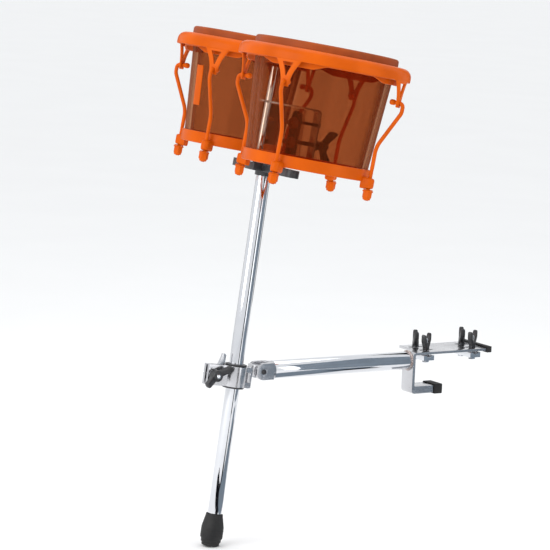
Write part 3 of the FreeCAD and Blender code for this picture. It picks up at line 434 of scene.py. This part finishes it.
def brushed():
    """Plated flat stock, duller than the tubes and drawn along its length."""
    look = Look("brushed", Metallic=1.0)
    drawn = look.noise(260, 3, look.stretched(0.08, 1, 1))
    haze = look.noise(22, 4)
    look.set("Base Color", look.ramp(haze, (0.3, (0.50, 0.50, 0.52)), (0.8, (0.66, 0.66, 0.68))))
    look.set("Roughness", look.ramp(drawn, (0.2, 0.16), (0.8, 0.30)))
    look.bump(drawn, 0.12, 0.0002)
    return look.material


def black_cast():
    """Black enamel on castings: fine orange peel, and paler in patches."""
    look = Look("black_cast", Coat_Weight=0.25, Coat_Roughness=0.25)
    wear = look.noise(60, 5)
    look.set("Base Color", look.ramp(wear, (0.35, (0.010, 0.010, 0.012)), (0.62, (0.022, 0.022, 0.025)),
                                     (0.85, (0.055, 0.055, 0.060))))
    look.set("Roughness", look.ramp(wear, (0.3, 0.30), (0.8, 0.48)))
    look.bump(look.noise(700, 2), 0.20, 0.0003)
    return look.material


def rubber():
    """Moulded rubber: matt, dusty in places, with a fine grain."""
    look = Look("rubber", Specular_IOR_Level=0.35)
    dust = look.noise(45, 5)
    look.set("Base Color", look.ramp(dust, (0.35, (0.010, 0.010, 0.011)), (0.8, (0.035, 0.034, 0.033))))
    look.set("Roughness", look.ramp(dust, (0.3, 0.55), (0.8, 0.78)))
    look.bump(look.noise(1100, 3), 0.35, 0.0002)
    return look.material


def nylon():
    """Satin black nylon with the faint flow marks of moulding."""
    look = Look("nylon", Specular_IOR_Level=0.45)
    flow = look.noise(40, 4, look.stretched(1, 1, 3))
    look.set("Base Color", look.ramp(flow, (0.3, (0.020, 0.020, 0.022)), (0.8, (0.045, 0.045, 0.048))))
    look.set("Roughness", look.ramp(flow, (0.3, 0.36), (0.8, 0.5)))
    look.bump(flow, 0.15, 0.0003)
    return look.material


def lacquer(name="lacquer", depth=1.0):
    """Orange lacquer over steel, with soft colour drift; a lower depth is darker."""
    tones = [tuple(part * depth for part in tone)
             for tone in ((0.54, 0.082, 0.002), (0.62, 0.098, 0.002), (0.70, 0.116, 0.003))]
    look = Look(name, Coat_Weight=0.03, Coat_Roughness=0.2, Specular_IOR_Level=0.07)
    drift = look.noise(18, 4)
    look.set("Base Color", look.ramp(drift, (0.3, tones[0]), (0.55, tones[1]), (0.8, tones[2])))
    look.set("Roughness", look.ramp(drift, (0.3, 0.32), (0.8, 0.45)))
    look.bump(look.noise(420, 2), 0.12, 0.0003)
    return look.material


def calf_skin():
    """Orange-tinted skin: cloudy, with fibres and pores."""
    look = Look("calf_skin", Specular_IOR_Level=0.15)
    cloud = look.noise(16, 6)
    fibre = look.noise(130, 5, look.stretched(1, 0.22, 1))
    both = look.math("ADD", look.math("MULTIPLY", cloud, 0.65), look.math("MULTIPLY", fibre, 0.35))
    look.set("Base Color", look.ramp(both, (0.32, (0.24, 0.048, 0.008)), (0.52, (0.32, 0.062, 0.010)),
                                     (0.72, (0.42, 0.086, 0.013))))
    look.set("Roughness", look.ramp(fibre, (0.3, 0.42), (0.8, 0.62)))
    pores = look.bump(look.noise(600, 3), 0.25, 0.0003)
    look.bump(fibre, 0.18, 0.0006, pores)
    return look.material


STAVES = 22
SHELL_LACQUER = 0.09
SHELL_TINT, SHELL_TINT_DARK = (0.80, 0.57, 0.42), (0.74, 0.51, 0.37)
SHELL_CLEAR = (0.95, 0.88, 0.82, 1)


def stave_tone(look, count):
    """A tone for each stave about Z, and a thin dark line where two meet."""
    parts = look.node("ShaderNodeSeparateXYZ", look.place).outputs
    share = look.math("MULTIPLY", look.math("ARCTAN2", parts[1], parts[0]), count / TURN)
    number = look.math("FLOOR", share)
    tone = look.node("ShaderNodeTexWhiteNoise", noise_dimensions="1D")
    look.tree.links.new(number, tone.inputs["W"])
    across = look.math("ABSOLUTE", look.math("SUBTRACT", look.math("FRACT", share), 0.5))
    return tone.outputs["Value"], look.math("GREATER_THAN", across, 0.485)


def shell_look(name, clear_side=None):
    """Ghosted shell, streaked stave by stave: a little lacquer over a tint that lets the clamp show.

    clear_side is the direction, in degrees about the drum, where the tint thins out to clear.
    """
    look = Look(name, Specular_IOR_Level=0.06)
    tone, seam = stave_tone(look, STAVES)
    grain = look.noise(95, 6, look.stretched(1, 1, 0.06))
    mixed = look.math("ADD", look.math("MULTIPLY", tone, 0.45), look.math("MULTIPLY", grain, 0.55))
    dark = look.math("SUBTRACT", mixed, look.math("MULTIPLY", seam, 0.35))
    look.set("Base Color", look.ramp(dark, (0.15, (0.15, 0.034, 0.009)), (0.42, (0.20, 0.046, 0.012)),
                                     (0.75, (0.25, 0.060, 0.016))))
    look.set("Roughness", look.ramp(grain, (0.3, 0.45), (0.8, 0.6)))
    look.bump(grain, 0.10, 0.0004)
    tint = look.ramp(dark, (0.15, SHELL_TINT_DARK), (0.75, SHELL_TINT))
    if clear_side is not None:
        parts = look.node("ShaderNodeSeparateXYZ", look.place).outputs
        toward = math.radians(clear_side)
        along = look.math("ADD", look.math("MULTIPLY", parts[0], math.cos(toward) * 1000),
                          look.math("MULTIPLY", parts[1], math.sin(toward) * 1000))
        thin = look.node("ShaderNodeMapRange", along, 30.0, 62.0, interpolation_type="SMOOTHSTEP").outputs[0]
        blend = look.node("ShaderNodeMix", thin, data_type="RGBA")
        tinted, clear = [socket for socket in blend.inputs if socket.type == "RGBA"]
        look.tree.links.new(tint, tinted)
        clear.default_value = SHELL_CLEAR
        tint = [socket for socket in blend.outputs if socket.type == "RGBA"][0]
    return look.ghosted(tint, SHELL_LACQUER).material


def stained_wood():
    """Close-grained hardwood under a red-brown stain, ghosted as the shells are."""
    look = Look("stained_wood", Specular_IOR_Level=0.05)
    warp = look.noise(9, 3, look.stretched(1, 1, 0.15))
    rings = look.node("ShaderNodeTexWave", look.stretched(1, 1, 0.1), wave_type="RINGS")
    rings.inputs["Scale"].default_value = 60
    rings.inputs["Distortion"].default_value = 5
    ringed = look.math("MULTIPLY", rings.outputs["Fac"], 0.6)
    grain = look.math("ADD", ringed, look.math("MULTIPLY", warp, 0.4))
    look.set("Base Color", look.ramp(grain, (0.25, (0.15, 0.032, 0.008)), (0.6, (0.22, 0.046, 0.011)),
                                     (0.85, (0.28, 0.060, 0.015))))
    look.set("Roughness", look.ramp(grain, (0.3, 0.45), (0.8, 0.6)))
    look.bump(grain, 0.15, 0.0004)
    tint = look.ramp(grain, (0.25, (0.93, 0.84, 0.78)), (0.85, (0.98, 0.93, 0.89)))
    return look.ghosted(tint, 0.08).material


def bead_look():
    """The heat-tinted, rippled bead of a weld under its plate."""
    look = Look("weld", Metallic=1.0)
    heat = look.noise(120, 3)
    look.set("Base Color", look.ramp(heat, (0.3, (0.34, 0.25, 0.22)), (0.75, (0.62, 0.58, 0.57))))
    look.set("Roughness", look.ramp(heat, (0.3, 0.22), (0.8, 0.42)))
    look.bump(look.noise(500, 3), 0.4, 0.0004)
    return look.material


LOOKS = {
    "chrome": chrome(), "flat_chrome": brushed(), "black_cast": black_cast(), "rubber": rubber(),
    "nylon": nylon(), "lacquer": lacquer(), "dark_lacquer": lacquer("dark_lacquer", 0.22),
    "skin": calf_skin(), "large_shell": shell_look("large_shell", 111),
    "small_shell": shell_look("small_shell"),
    "wood": stained_wood(), "weld": bead_look(),
}


# ---------------------------------------------------------------- drums
def lit_through(item):
    """A ghosted piece is drawn for the eye alone, so it leaves the light on the clamp as it is."""
    item.visible_shadow = False
    item.visible_diffuse = False
    item.visible_glossy = False


def stave_grooves(angle, _height):
    """Shallow V joints between staves, as a share of the radius."""
    phase = (angle * STAVES / TURN) % 1
    distance = min(phase, 1 - phase)
    return 1 - 0.004 * math.exp(-(distance / 0.03) ** 2)


def shell(drum, place, bottom):
    top = bottom + TAPER[drum]
    wall = SHELL_WALL
    low = DRUM_LOW[drum]
    outline = [(bottom - wall, low), (bottom, low), (top, DRUM_HIGH), (top - wall, DRUM_HIGH)]
    profile = rounded(outline, (2, 2.5, 4, 2))
    mesh = mesh_from(drum + "_shell_staved", [turned(profile, STAVES * 12, wobble=stave_grooves)])
    lit_through(piece(drum + "_shell_staved", mesh, "post", drum + "_shell", place,
                      stands_for=(drum + "_shell",)))


def head(drum, place, bottom):
    """The skin: flat on top, rolled over the bearing edge and tucked round its hoop."""
    top = bottom + TAPER[drum]
    high, thick, hoop = DRUM_HIGH, 1.8, 3
    tuck = high - 15.1
    outer = [(1, high + thick + 0.5), (top * 0.75, high + thick + 0.3), (top + thick, high + thick - 0.4),
             (top + thick, tuck + hoop), (top + thick + 2 * hoop, tuck + hoop - 0.4),
             (top + thick + 2 * hoop, tuck - hoop), (top + 0.1, tuck - hoop - 0.4)]
    inner = [(top + 0.1, high), (1, high)]
    profile = rounded(outer + inner, (0, 40, 4, 1.2, 2.4, 2.4, 0.5, 0.5, 0), closed=False)

    def pleats(angle, height):
        if height > tuck + 6:
            return 1
        return 1 + 0.0012 * math.sin(angle * 46) * math.sin(angle * 17 + 1)

    mesh = mesh_from(drum + "_head_skin", [turned(profile, 192, closed=False, wobble=pleats)])
    piece(drum + "_head_skin", mesh, "post", "skin", place,
          stands_for=(drum + "_head", drum + "_flesh_hoop"))


RIM_DROP, RIM_OUT, ROLL_DEEP, RIM_SKIN = 10, 23.99, 20, 3
COLLAR_GAP, COLLAR_THICK, COLLAR_FOOT, COLLAR_LIFT = 8.4, 2.4, 38, 7
EAR_HALF, EAR_TIP, EAR_TOP, EAR_FOOT, EAR_EYE, EAR_THICK = 23, 6.5, 26, 69, 62, 3


def rolled_rim(drum, place, bottom):
    """The comfort rim: a wide roll outside, and a collar that runs down inside it."""
    top = bottom + TAPER[drum]
    lip, out, inner = DRUM_HIGH - RIM_DROP, top + RIM_OUT, top + 2.4
    collar = top + COLLAR_GAP
    under, foot = lip - ROLL_DEEP, DRUM_HIGH - COLLAR_FOOT
    outline = [(inner, lip), (out, lip), (out, under), (out - RIM_SKIN, under),
               (out - RIM_SKIN, lip - RIM_SKIN), (collar + COLLAR_THICK, lip - RIM_SKIN),
               (collar + COLLAR_THICK, foot), (collar, foot), (collar, lip - 2), (inner, lip - 2)]
    bends = (0.8, 13, 1.4, 1.4, 10, 2, 1.1, 1.1, 0.4, 0.8)
    points, faces = turned(rounded(outline, bends), 160)
    for point in points:
        if point.z < under - 3:
            between = abs(math.sin(LUGS / 2 * math.atan2(point.y, point.x)))
            point.z += COLLAR_LIFT * min(1, max(0, (between - 0.55) / 0.25))
    mesh = mesh_from(drum + "_rim_rolled", [(points, faces)])
    piece(drum + "_rim_rolled", mesh, "post", "lacquer", place, stands_for=(drum + "_rim",))


def loop(half, top, foot, count):
    """Round an ear or its window: across and height, down one side and up the other."""
    side = []
    for step in range(count + 1):
        share = step / count
        side.append((half(share), top + (foot - top) * share))
    across = [(half(1) * (1 - 2 * step / 6), foot) for step in range(1, 6)]
    back = [(-y, z) for y, z in reversed(side)]
    over = [(half(0) * (2 * step / 14 - 1), top) for step in range(1, 14)]
    return side + across + back + over


def ear(drum, number, place, bottom):
    """One ear: a hollow-sided blade under the roll, with a window above the eye for its hook."""
    reach = bottom + TAPER[drum] + RIM_OUT - 0.4
    top, foot, eye = DRUM_HIGH - EAR_TOP, DRUM_HIGH - EAR_FOOT, DRUM_HIGH - EAR_EYE

    def edge(share):
        return EAR_TIP + (EAR_HALF - EAR_TIP) * (1 - share) ** 2

    def window(share):
        return 1.2 + 7.5 * (1 - share) ** 1.3

    outer = loop(edge, top, foot, 16)
    inner = loop(window, top - 7, eye + 9, 16)
    rings = []
    for inset, depth in ((0, 0.9), (0.25, 0.25), (0.9, 0), (1, 0), (1, EAR_THICK), (0.9, EAR_THICK),
                         (0.25, EAR_THICK - 0.25), (0, EAR_THICK - 0.9)):
        ring = []
        for (y, z), (within, high) in zip(outer, inner):
            share = inset if inset == 1 else inset / 3
            across, up = y + (within - y) * share, z + (high - z) * share
            ring.append((reach - depth - across * across / (2 * reach), across, up))
        rings.append(ring)
    plate = skin(rings, closed=True)
    collar = rounded([(3.3, -0.6), (6.3, -0.6), (5.8, EAR_THICK + 0.8), (3.3, EAR_THICK + 0.8)], 0.7)
    grommet = turned(collar, 32)
    seat = Matrix.Translation((reach - EAR_THICK, 0, eye)) @ Matrix.Rotation(math.pi / 2, 4, "Y")
    name = f"{drum}_ear_{number + 1}"
    mesh = mesh_from(name, [plate, moved(grommet, seat)])
    piece(name, mesh, "post", "lacquer", place @ spin(90 * number, "Z"))


THREAD_TALL = 19
HOOK_BELOW, HOOK_OUT, HOOK_CLEAR, HOOK_END, WIRE = 30, 70, 6, 15, 3


def hook(drum, number, place, bottom, stands_for):
    """One tension hook: threaded foot, out past the ear and back through its eye to a knob."""
    top = bottom + TAPER[drum]
    leg, out, eye, end = bottom + LUG_OUT, top + RIM_OUT + HOOK_CLEAR, DRUM_HIGH - EAR_EYE, top + HOOK_END
    low, thread_top = DRUM_LOW[drum] - HOOK_BELOW, DRUM_LOW[drum] + THREAD_TALL
    route = [(leg, low), (leg, eye - HOOK_OUT), (out, eye - 14), (out, eye), (end, eye)]
    path = [Vector((x, 0, z)) for x, z in rounded(route, (0, 40, 14, HOOK_CLEAR, 0), closed=False, steps=10)]
    foot = divided([path[0], Vector((leg, 0, thread_top))], 0.22)

    def wire(point, angle):
        if point.z > thread_top - 1 or point.x > leg + 1:
            return WIRE
        return WIRE - thread_depth(point.z, angle, 1.25, 0.4)

    shaft = rod(foot + divided(path[1:], 6), wire)
    profile = rounded([(0.6, -4.2), (5, -4.2), (5, 4.2), (0.6, 4.2)], (0, 3.6, 3.6, 0), closed=False)
    ball = moved(turned(profile, 28, closed=False), Matrix.Translation((end - 2, 0, eye)))
    name = f"{drum}_hook_{number + 1}"
    mesh = mesh_from(name, [shaft, ball])
    turn = spin(90 * number, "Z")
    piece(name, mesh, "post", "lacquer", place @ turn, stands_for=stands_for)


def bottom_hoop(drum, place, bottom):
    """The ring that carries the lugs, turned in under the shell."""
    low, inner = DRUM_LOW[drum], bottom + 2.4
    outer = inner + 2.6
    outline = [(bottom - 8, low - 3), (outer, low - 3), (outer, low + 15), (inner, low + 15), (inner, low),
               (bottom - 8, low)]
    profile = rounded(outline, (1.2, 2.2, 1.2, 1.2, 0.6, 1.2))
    parts = [turned(profile, 144)]
    for number in range(LUGS):
        parts.append(turned_about(lug(outer, bottom + LUG_OUT, low - LUG_BELOW), 90 * number))
    mesh = mesh_from(drum + "_hoop_lugged", parts)
    piece(drum + "_hoop_lugged", mesh, "post", "lacquer", place,
          stands_for=(drum + "_bottom_ring",))


LUG_BELOW, LUG_HALF_THICK, LUG_HALF_TALL, LUG_SUNK, LUG_PAST, LUG_STEPS = 4, 7.5, 9, 1.6, 7, 12


def lug(outer, reach, middle):
    """A lug: a deep boss that grows out of the ring round the hook's foot."""
    rings = []
    start, end = outer - LUG_SUNK, reach + LUG_PAST
    for step in range(LUG_STEPS + 1):
        share = step / LUG_STEPS
        x = start + (end - start) * share
        swell = 1 - 0.18 * share ** 2
        close = math.sqrt(max(0, 1 - max(0, (share - 0.72) / 0.28) ** 2))
        thick = LUG_HALF_THICK * swell * max(close, 0.25)
        tall = LUG_HALF_TALL * swell * (0.75 + 0.25 * close)
        rings.append(superellipse(x, middle, thick, tall))
    return skin(rings)


NUT_BELOW, NUT_LONG = 14.5, 15


def tuning_nut(drum, number, place, bottom):
    """A long acorn nut: six flats, a collar at its seat and a rounded, open end."""
    seat = DRUM_LOW[drum] - NUT_BELOW
    low = seat - NUT_LONG
    outline = [(3.7, low + 0.4), (5.4, low), (6.0, low + 3.4), (7.4, low + 4.2), (7.4, seat - 2.6),
               (7.9, seat - 2.2), (7.9, seat), (3.7, seat)]
    profile = rounded(outline, (0.3, 1.6, 0.6, 0.5, 0.3, 0.3, 0.6, 0.3))
    wobble = hexagonal(low + 3.9, seat - 2.5)
    name = f"{drum}_tuning_nut_{number + 1}"
    mesh = mesh_from(name + "_acorn", [turned(profile, 60, wobble=wobble)])
    local = place @ spin(90 * number, "Z") @ shift(bottom + LUG_OUT)
    piece(name + "_acorn", mesh, f"{drum}_nut_{number + 1}", "lacquer", local,
          stands_for=(name,))


def drum(name):
    place, reach = drum_frame(name)
    bottom = reach - LUG_OUT
    shell(name, place, bottom)
    head(name, place, bottom)
    rolled_rim(name, place, bottom)
    bottom_hoop(name, place, bottom)
    for number in range(LUGS):
        ear(name, number, place, bottom)
        hook(name, number, place, bottom, (name + "_tension_hooks",) if number == 0 else ())
        tuning_nut(name, number, place, bottom)
    eased(name + "_lug_washers", "lacquer", 0.2)


# ---------------------------------------------------------------- wings
def blades(hub, span, root_thick, tip_thick, root, tip):
    """Two wings that flare from the hub; root and tip are (low, high) along the hub."""
    parts = []
    for turn in (0, 180):
        rings = []
        for step in range(15):
            share = step / 14
            x = hub * 0.3 + (span - hub * 0.3) * share
            ease = share * share * (3 - 2 * share)
            low, high = (a + (b - a) * ease for a, b in zip(root, tip))
            thick = root_thick + (tip_thick - root_thick) * ease
            close = math.sqrt(max(0.0, 1 - max(0.0, (share - 0.86) / 0.14) ** 2)) * 0.55 + 0.45
            rings.append(superellipse(x, (low + high) / 2, thick / 2 * close, (high - low) / 2 * close))
        parts.append(turned_about(skin(rings), turn))
    return parts


def winged(name, node, body, place, hub, tall, span, thick, tip, voxel=0.45):
    """A cast hub with two wings, its seat at Z 0, and the bolt's end in the middle."""
    outline = [(0.8, 0), (hub, 0), (hub * 0.94, tall), (0.8, tall)]
    dome = rounded(outline, (0, 0.8, hub * 0.35, 0), closed=False)
    parts = [turned(dome, 48, closed=False)] + blades(hub, span, thick * 1.15, thick, (1.5, tall - 0.5), tip)
    mesh = cast(mesh_from(name, parts), voxel)
    piece(name, mesh, body, "black_cast", place, stands_for=(node,))


UNIT_WING_AT = (35, 60)


def unit_nuts(letter):
    """The pair of wing nuts on one saddle, with the threaded ends that stand out of them."""
    for number in (1, 2):
        turn = pivot(f"unit_{letter}_wing_turn_{number}")
        seat = Matrix.Translation(turn) @ shift(z=0.3) @ spin(UNIT_WING_AT[number - 1], "Z")
        node, body = f"unit_{letter}_wing_nut_{number}", f"unit_{letter}_wing_{number}"
        winged(node + "_cast", node, body, seat, 5.5, 11, 14, 8, (12, 27), voxel=0.4)
    studs = []
    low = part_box(f"unit_{letter}_bolts")[0].z / MM
    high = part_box(f"unit_{letter}_bolts")[1].z / MM
    for number in (1, 2):
        stand = pivot(f"unit_{letter}_wing_turn_{number}") / MM
        hexagon = turned(rounded([(0.5, low), (6, low), (6, low + 4), (0.5, low + 4)], (0, 0.8, 0.5, 0),
                                 closed=False), 48, closed=False, wobble=hexagonal(low, low + 4.1))
        for part in (threaded(3, low + 4, high), hexagon):
            studs.append(moved(part, Matrix.Translation((stand.x, stand.y, 0))))
    body, name = f"unit_{letter}", f"unit_{letter}_studs"
    piece(name, mesh_from(name, studs), body, "chrome", stands_for=(body + "_bolts",))


def clamp_wing():
    """The stubby black wing bolt that closes the jaws."""
    seat = Matrix.Translation(pivot("clamp_wing_turn")) @ POST.to_quaternion().to_matrix().to_4x4()
    place = seat @ shift(y=5.4) @ spin(-38, "Y") @ spin(90, "X")
    winged("clamp_wing_cast", "clamp_wing_bolt", "clamp_screw", place, 9.5, 13, 26, 9, (9, 21))
    stud = mesh_from("clamp_wing_stud", [threaded(3.5, -32, 15)])
    piece("clamp_wing_stud", stud, "clamp_screw", "chrome", place)


def pad_wing():
    """The wing that drives the pad, and the thread and tip that it turns."""
    place = Matrix.Translation(pivot("pad_screw_turn")) @ HEAD.to_quaternion().to_matrix().to_4x4()
    hub = place @ shift(11.9) @ spin(12, "X") @ spin(90, "Y")
    winged("pad_wing_cast", "pad_wing", "pad_screw", hub, 7.5, 13, 26, 6.5, (9, 26))
    screw = place @ shift(-77) @ spin(90, "Y")
    mesh = mesh_from("pad_screw_threaded", [threaded(3.4, 44.9, 103.9)])
    piece("pad_screw_threaded", mesh, "pad_screw", "black_cast", screw, stands_for=("pad_screw",))


# ---------------------------------------------------------------- stand
def foot():
    """The crutch tip: stepped sole, grip rings and a cuff round the post."""
    low, wide, high = -279, 17.5, -229
    outline = [(1, low), (wide - 3.5, low), (wide - 3.5, low + 4.6), (wide - 1.8, low + 5.6),
               (wide - 1.8, low + 10), (wide, low + 12), (wide, low + 29), (wide - 4, high - 3),
               (wide - 4, high), (11.15, high), (11.15, -262), (1, -262)]
    bends = (0, 1.5, 0.6, 0.8, 0.8, 1.5, 5, 1.5, 1.2, 0.6, 0.5, 0)
    profile = rounded(outline, bends, closed=False)
    grooves = [turned(rounded([(wide - 1.3, z), (wide + 0.25, z + 0.3), (wide + 0.25, z + 1.5),
                               (wide - 1.3, z + 1.8)], 0.35), 96) for z in (low + 15, low + 19, low + 23)]
    mesh = mesh_from("foot_moulded", [turned(profile, 96, closed=False)] + grooves)
    piece("foot_moulded", mesh, "post", "rubber", POST, stands_for=("foot_cap",))


BEAD_AT, BEAD_RADIUS = -5.6, 14.6


def weld_bead():
    """The bead where the arm meets the bracket's upright bar."""
    rings = []
    count = 120
    for step in range(count):
        around = TURN * step / count
        fat = 1.7 + 0.35 * math.sin(around * 26) + 0.2 * math.sin(around * 7 + 1)
        ring = []
        for side in range(12):
            angle = TURN * side / 12
            reach = BEAD_RADIUS + fat * math.cos(angle)
            ring.append((fat * math.sin(angle), reach * math.cos(around), reach * math.sin(around)))
        rings.append(ring)
    mesh = mesh_from("arm_weld", [skin(rings, closed=True)])
    piece("arm_weld", mesh, "bracket", "weld", shift(BEAD_AT))


def lean_pad():
    """The pad that presses the block: a rubber stadium with eased edges."""
    low, tall, wide, face, thick = 4.5, 85, 21, 35.1, 7
    reach = (tall - wide) / 2
    layers = ((0.0, 1.8), (0.35, 0.8), (1.3, 0.0), (thick - 1.5, 0.0), (thick - 0.4, 0.5), (thick, 1.4))
    rings = []
    for depth, inset in layers:
        ring = []
        for side in range(72):
            angle = TURN * side / 72
            up = math.copysign(reach, math.sin(angle))
            radius = wide / 2 - inset
            across, along = radius * math.cos(angle), up + radius * math.sin(angle)
            ring.append((face + depth, across, low + tall / 2 + along))
        rings.append(ring)
    mesh = mesh_from("pad_moulded", [skin(rings)])
    piece("pad_moulded", mesh, "pad", "rubber", HEAD, stands_for=("pad_rubber",))


# Node, look, slot, width of the eased edge in mm, and steps across it.
EASED = (
    ("mount_bracket", "flat_chrome", "chrome", 0.9, 3), ("arm_tube", "chrome", "chrome", 0.5, 2),
    ("arm_yoke", "flat_chrome", "chrome", 2.2, 4), ("yoke_pin", "black_cast", "chrome", 0.5, 2),
    ("rear_jaw", "flat_chrome", "chrome", 0.9, 3), ("front_jaw", "flat_chrome", "chrome", 0.9, 3),
    ("jaw_hinge_pin", "chrome", "chrome", 0.5, 2), ("clamp_washer", "chrome", "chrome", 0.3, 2),
    ("clamp_nut", "chrome", "chrome", 0.6, 2), ("post_bushing", "nylon", "nylon", 0.5, 2),
    ("post_tube", "chrome", "chrome", 0.3, 2), ("gate_rod", "chrome", "chrome", 0.8, 3),
    ("head_crossbar", "black_cast", "black_cast", 1.8, 4), ("crossbar_bolt", "chrome", "chrome", 0.6, 3),
    ("block_strap", "flat_chrome", "chrome", 0.5, 2), ("pad_screw_boss", "black_cast", "black_cast", 0.8, 3),
    ("pad_plate", "black_cast", "black_cast", 0.4, 2), ("pad_guide_pins", "black_cast", "chrome", 0.6, 3),
    ("unit_a_saddle", "chrome", "chrome", 2.2, 4), ("unit_b_saddle", "chrome", "chrome", 2.2, 4),
    ("lip_cap", "rubber", "rubber", 1.6, 4), ("plate_end_cap", "rubber", "rubber", 1.4, 4),
    ("block_bolts", "dark_lacquer", "chrome", 0.4, 2), ("block_washers", "dark_lacquer", "chrome", 0.2, 2),
)
ON_HEAD = ("head_crossbar", "block_strap")


def stand():
    grains = {"post": POST, "pad": HEAD, "gate": HEAD}
    for node, look, slot, width, segments in EASED:
        grain = HEAD if node in ON_HEAD else grains.get(frame["nodes"][node]["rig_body"])
        eased(node, look, width, segments, grain)
    lit_through(eased("centre_block", "wood", 0.8, 2, HEAD))
    foot()
    weld_bead()
    lean_pad()
    for letter in ("a", "b"):
        unit_nuts(letter)
    clamp_wing()
    pad_wing()


# ---------------------------------------------------------------- studio
AZIMUTH, ELEVATION, ROLL = -32.0, 8.3, -2.4
DISTANCE, LENS, SENSOR = 4.5, 182.6, 36
AIM_RIGHT, AIM_UP = -0.2184, 0.1371


def camera():
    a, e, r = (math.radians(angle) for angle in (AZIMUTH, ELEVATION, ROLL))
    back = Vector((math.sin(a) * math.cos(e), -math.cos(a) * math.cos(e), math.sin(e)))
    right = Vector((math.cos(a), math.sin(a), 0))
    up = back.cross(right)
    across = right * math.cos(r) - up * math.sin(r)
    upward = up * math.cos(r) + right * math.sin(r)
    eye = bpy.data.cameras.new("camera")
    eye.lens, eye.sensor_width = LENS, SENSOR
    item = bpy.data.objects.new("camera", eye)
    matrix = Matrix((across, upward, back)).transposed().to_4x4()
    matrix.translation = across * AIM_RIGHT + upward * AIM_UP + back * DISTANCE
    item.matrix_world = matrix
    bpy.context.scene.collection.objects.link(item)
    bpy.context.scene.camera = item
    return back


def sheet_of(name, width, tall, place, look):
    """A flat rectangle that isn't part of the object."""
    mesh = bpy.data.meshes.new(name)
    x, y = width / 2, tall / 2
    corners = [(-x, -y, 0), (x, -y, 0), (x, y, 0), (-x, y, 0)]
    mesh.from_pydata(corners, [], [(0, 1, 2, 3)])
    mesh.materials.append(look)
    item = bpy.data.objects.new(name, mesh)
    item.matrix_world = place
    bpy.context.scene.collection.objects.link(item)
    return item


def floor():
    look = Look("floor", "Object", Roughness=0.8, Specular_IOR_Level=0.1)
    cloud = look.noise(3, 2)
    look.set("Base Color", look.ramp(cloud, (0.3, (0.905, 0.905, 0.905)), (0.8, (0.92, 0.92, 0.92))))
    sheet_of("floor", 60, 60, Matrix.Translation((0, 0, cad_low.z)), look.material)


def softbox(name, power, width, tall, spot, target):
    lamp = bpy.data.lights.new(name, "AREA")
    lamp.shape = "RECTANGLE"
    lamp.size, lamp.size_y, lamp.energy = width, tall, power
    item = bpy.data.objects.new(name, lamp)
    item.location = spot
    item.rotation_euler = (target - spot).to_track_quat("-Z", "Y").to_euler()
    bpy.context.scene.collection.objects.link(item)


def card(name, tone, width, tall, spot, target):
    """A studio card that shows only in reflections, as the streaks down the tubes."""
    look = Look(name, "Object", Roughness=0.9, Specular_IOR_Level=0.0)
    shades = [tuple(part * share for part in tone) for share in (0.9, 1.1)]
    look.set("Base Color", look.ramp(look.noise(3, 1), (0.3, shades[0]), (0.8, shades[1])))
    place = (target - spot).to_track_quat("Z", "Y").to_matrix().to_4x4()
    place.translation = spot
    sheet = sheet_of(name, width, tall, place, look.material)
    sheet.visible_camera = False
    sheet.visible_shadow = False
    sheet.visible_diffuse = False


BLACK, SLATE = (0.006, 0.006, 0.008), (0.20, 0.24, 0.28)


def studio(back):
    bpy.context.scene.view_settings.view_transform = "Standard"
    world = bpy.data.worlds.new("studio")
    bpy.context.scene.world = world
    world.use_nodes = True
    sky = world.node_tree.nodes["Background"]
    sky.inputs["Color"].default_value = (0.97, 0.985, 1.0, 1)
    sky.inputs["Strength"].default_value = 1.0
    middle = (cad_low + cad_high) / 2
    level = Vector((back.x, back.y, 0)).normalized()
    mast = pivot("post_turn")
    rail = pivot("arm_swivel") / 2
    ground = cad_low.z + 0.004

    def around(degrees, far, up, centre=middle):
        """A spot round the object, its angle taken from the camera to the right."""
        return centre + Matrix.Rotation(math.radians(degrees), 3, "Z") @ level * far + Vector((0, 0, up))

    softbox("key", 24, 1.4, 1.8, around(-48, 2.3, 1.1), middle)
    softbox("fill", 8, 1.2, 1.6, around(55, 2.4, 0.5), middle)
    softbox("top", 10, 1.6, 1.6, around(180, 0.4, 2.0), middle)
    card("card_line", BLACK, 0.16, 1.3, around(33, 0.75, 0.1, mast), mast + Vector((0, 0, 0.1)))
    card("card_slate", SLATE, 0.80, 1.3, around(84, 0.75, 0.1, mast), mast + Vector((0, 0, 0.1)))
    card("card_edge_right", BLACK, 0.9, 3.2, around(146, 2.2, 0, mast), mast)
    card("card_edge_left", BLACK, 0.5, 3.2, around(-160, 2.2, 0, mast), mast)
    low = Vector((rail.x, rail.y, ground)) + level * 0.20
    card("card_low", BLACK, 0.9, 0.12, low, low + Vector((0, 0, 1)))
    stem = heading("post_turn")
    tip = mast + stem * ((ground - mast.z) / stem.z)
    for name, tone, turn, width in (("card_line_low", BLACK, 33, 0.10), ("card_slate_low", SLATE, 84, 0.34)):
        spot = around(turn, 0.40, 0, tip)
        card(name, tone, width, 0.62, spot, spot + (spot - tip) * 0.02 + Vector((0, 0, 1)))


toward_camera = camera()
floor()
studio(toward_camera)
for drum_name in ("large", "small"):
    drum(drum_name)
eased("small_badge", "lacquer", 0.25)
stand()
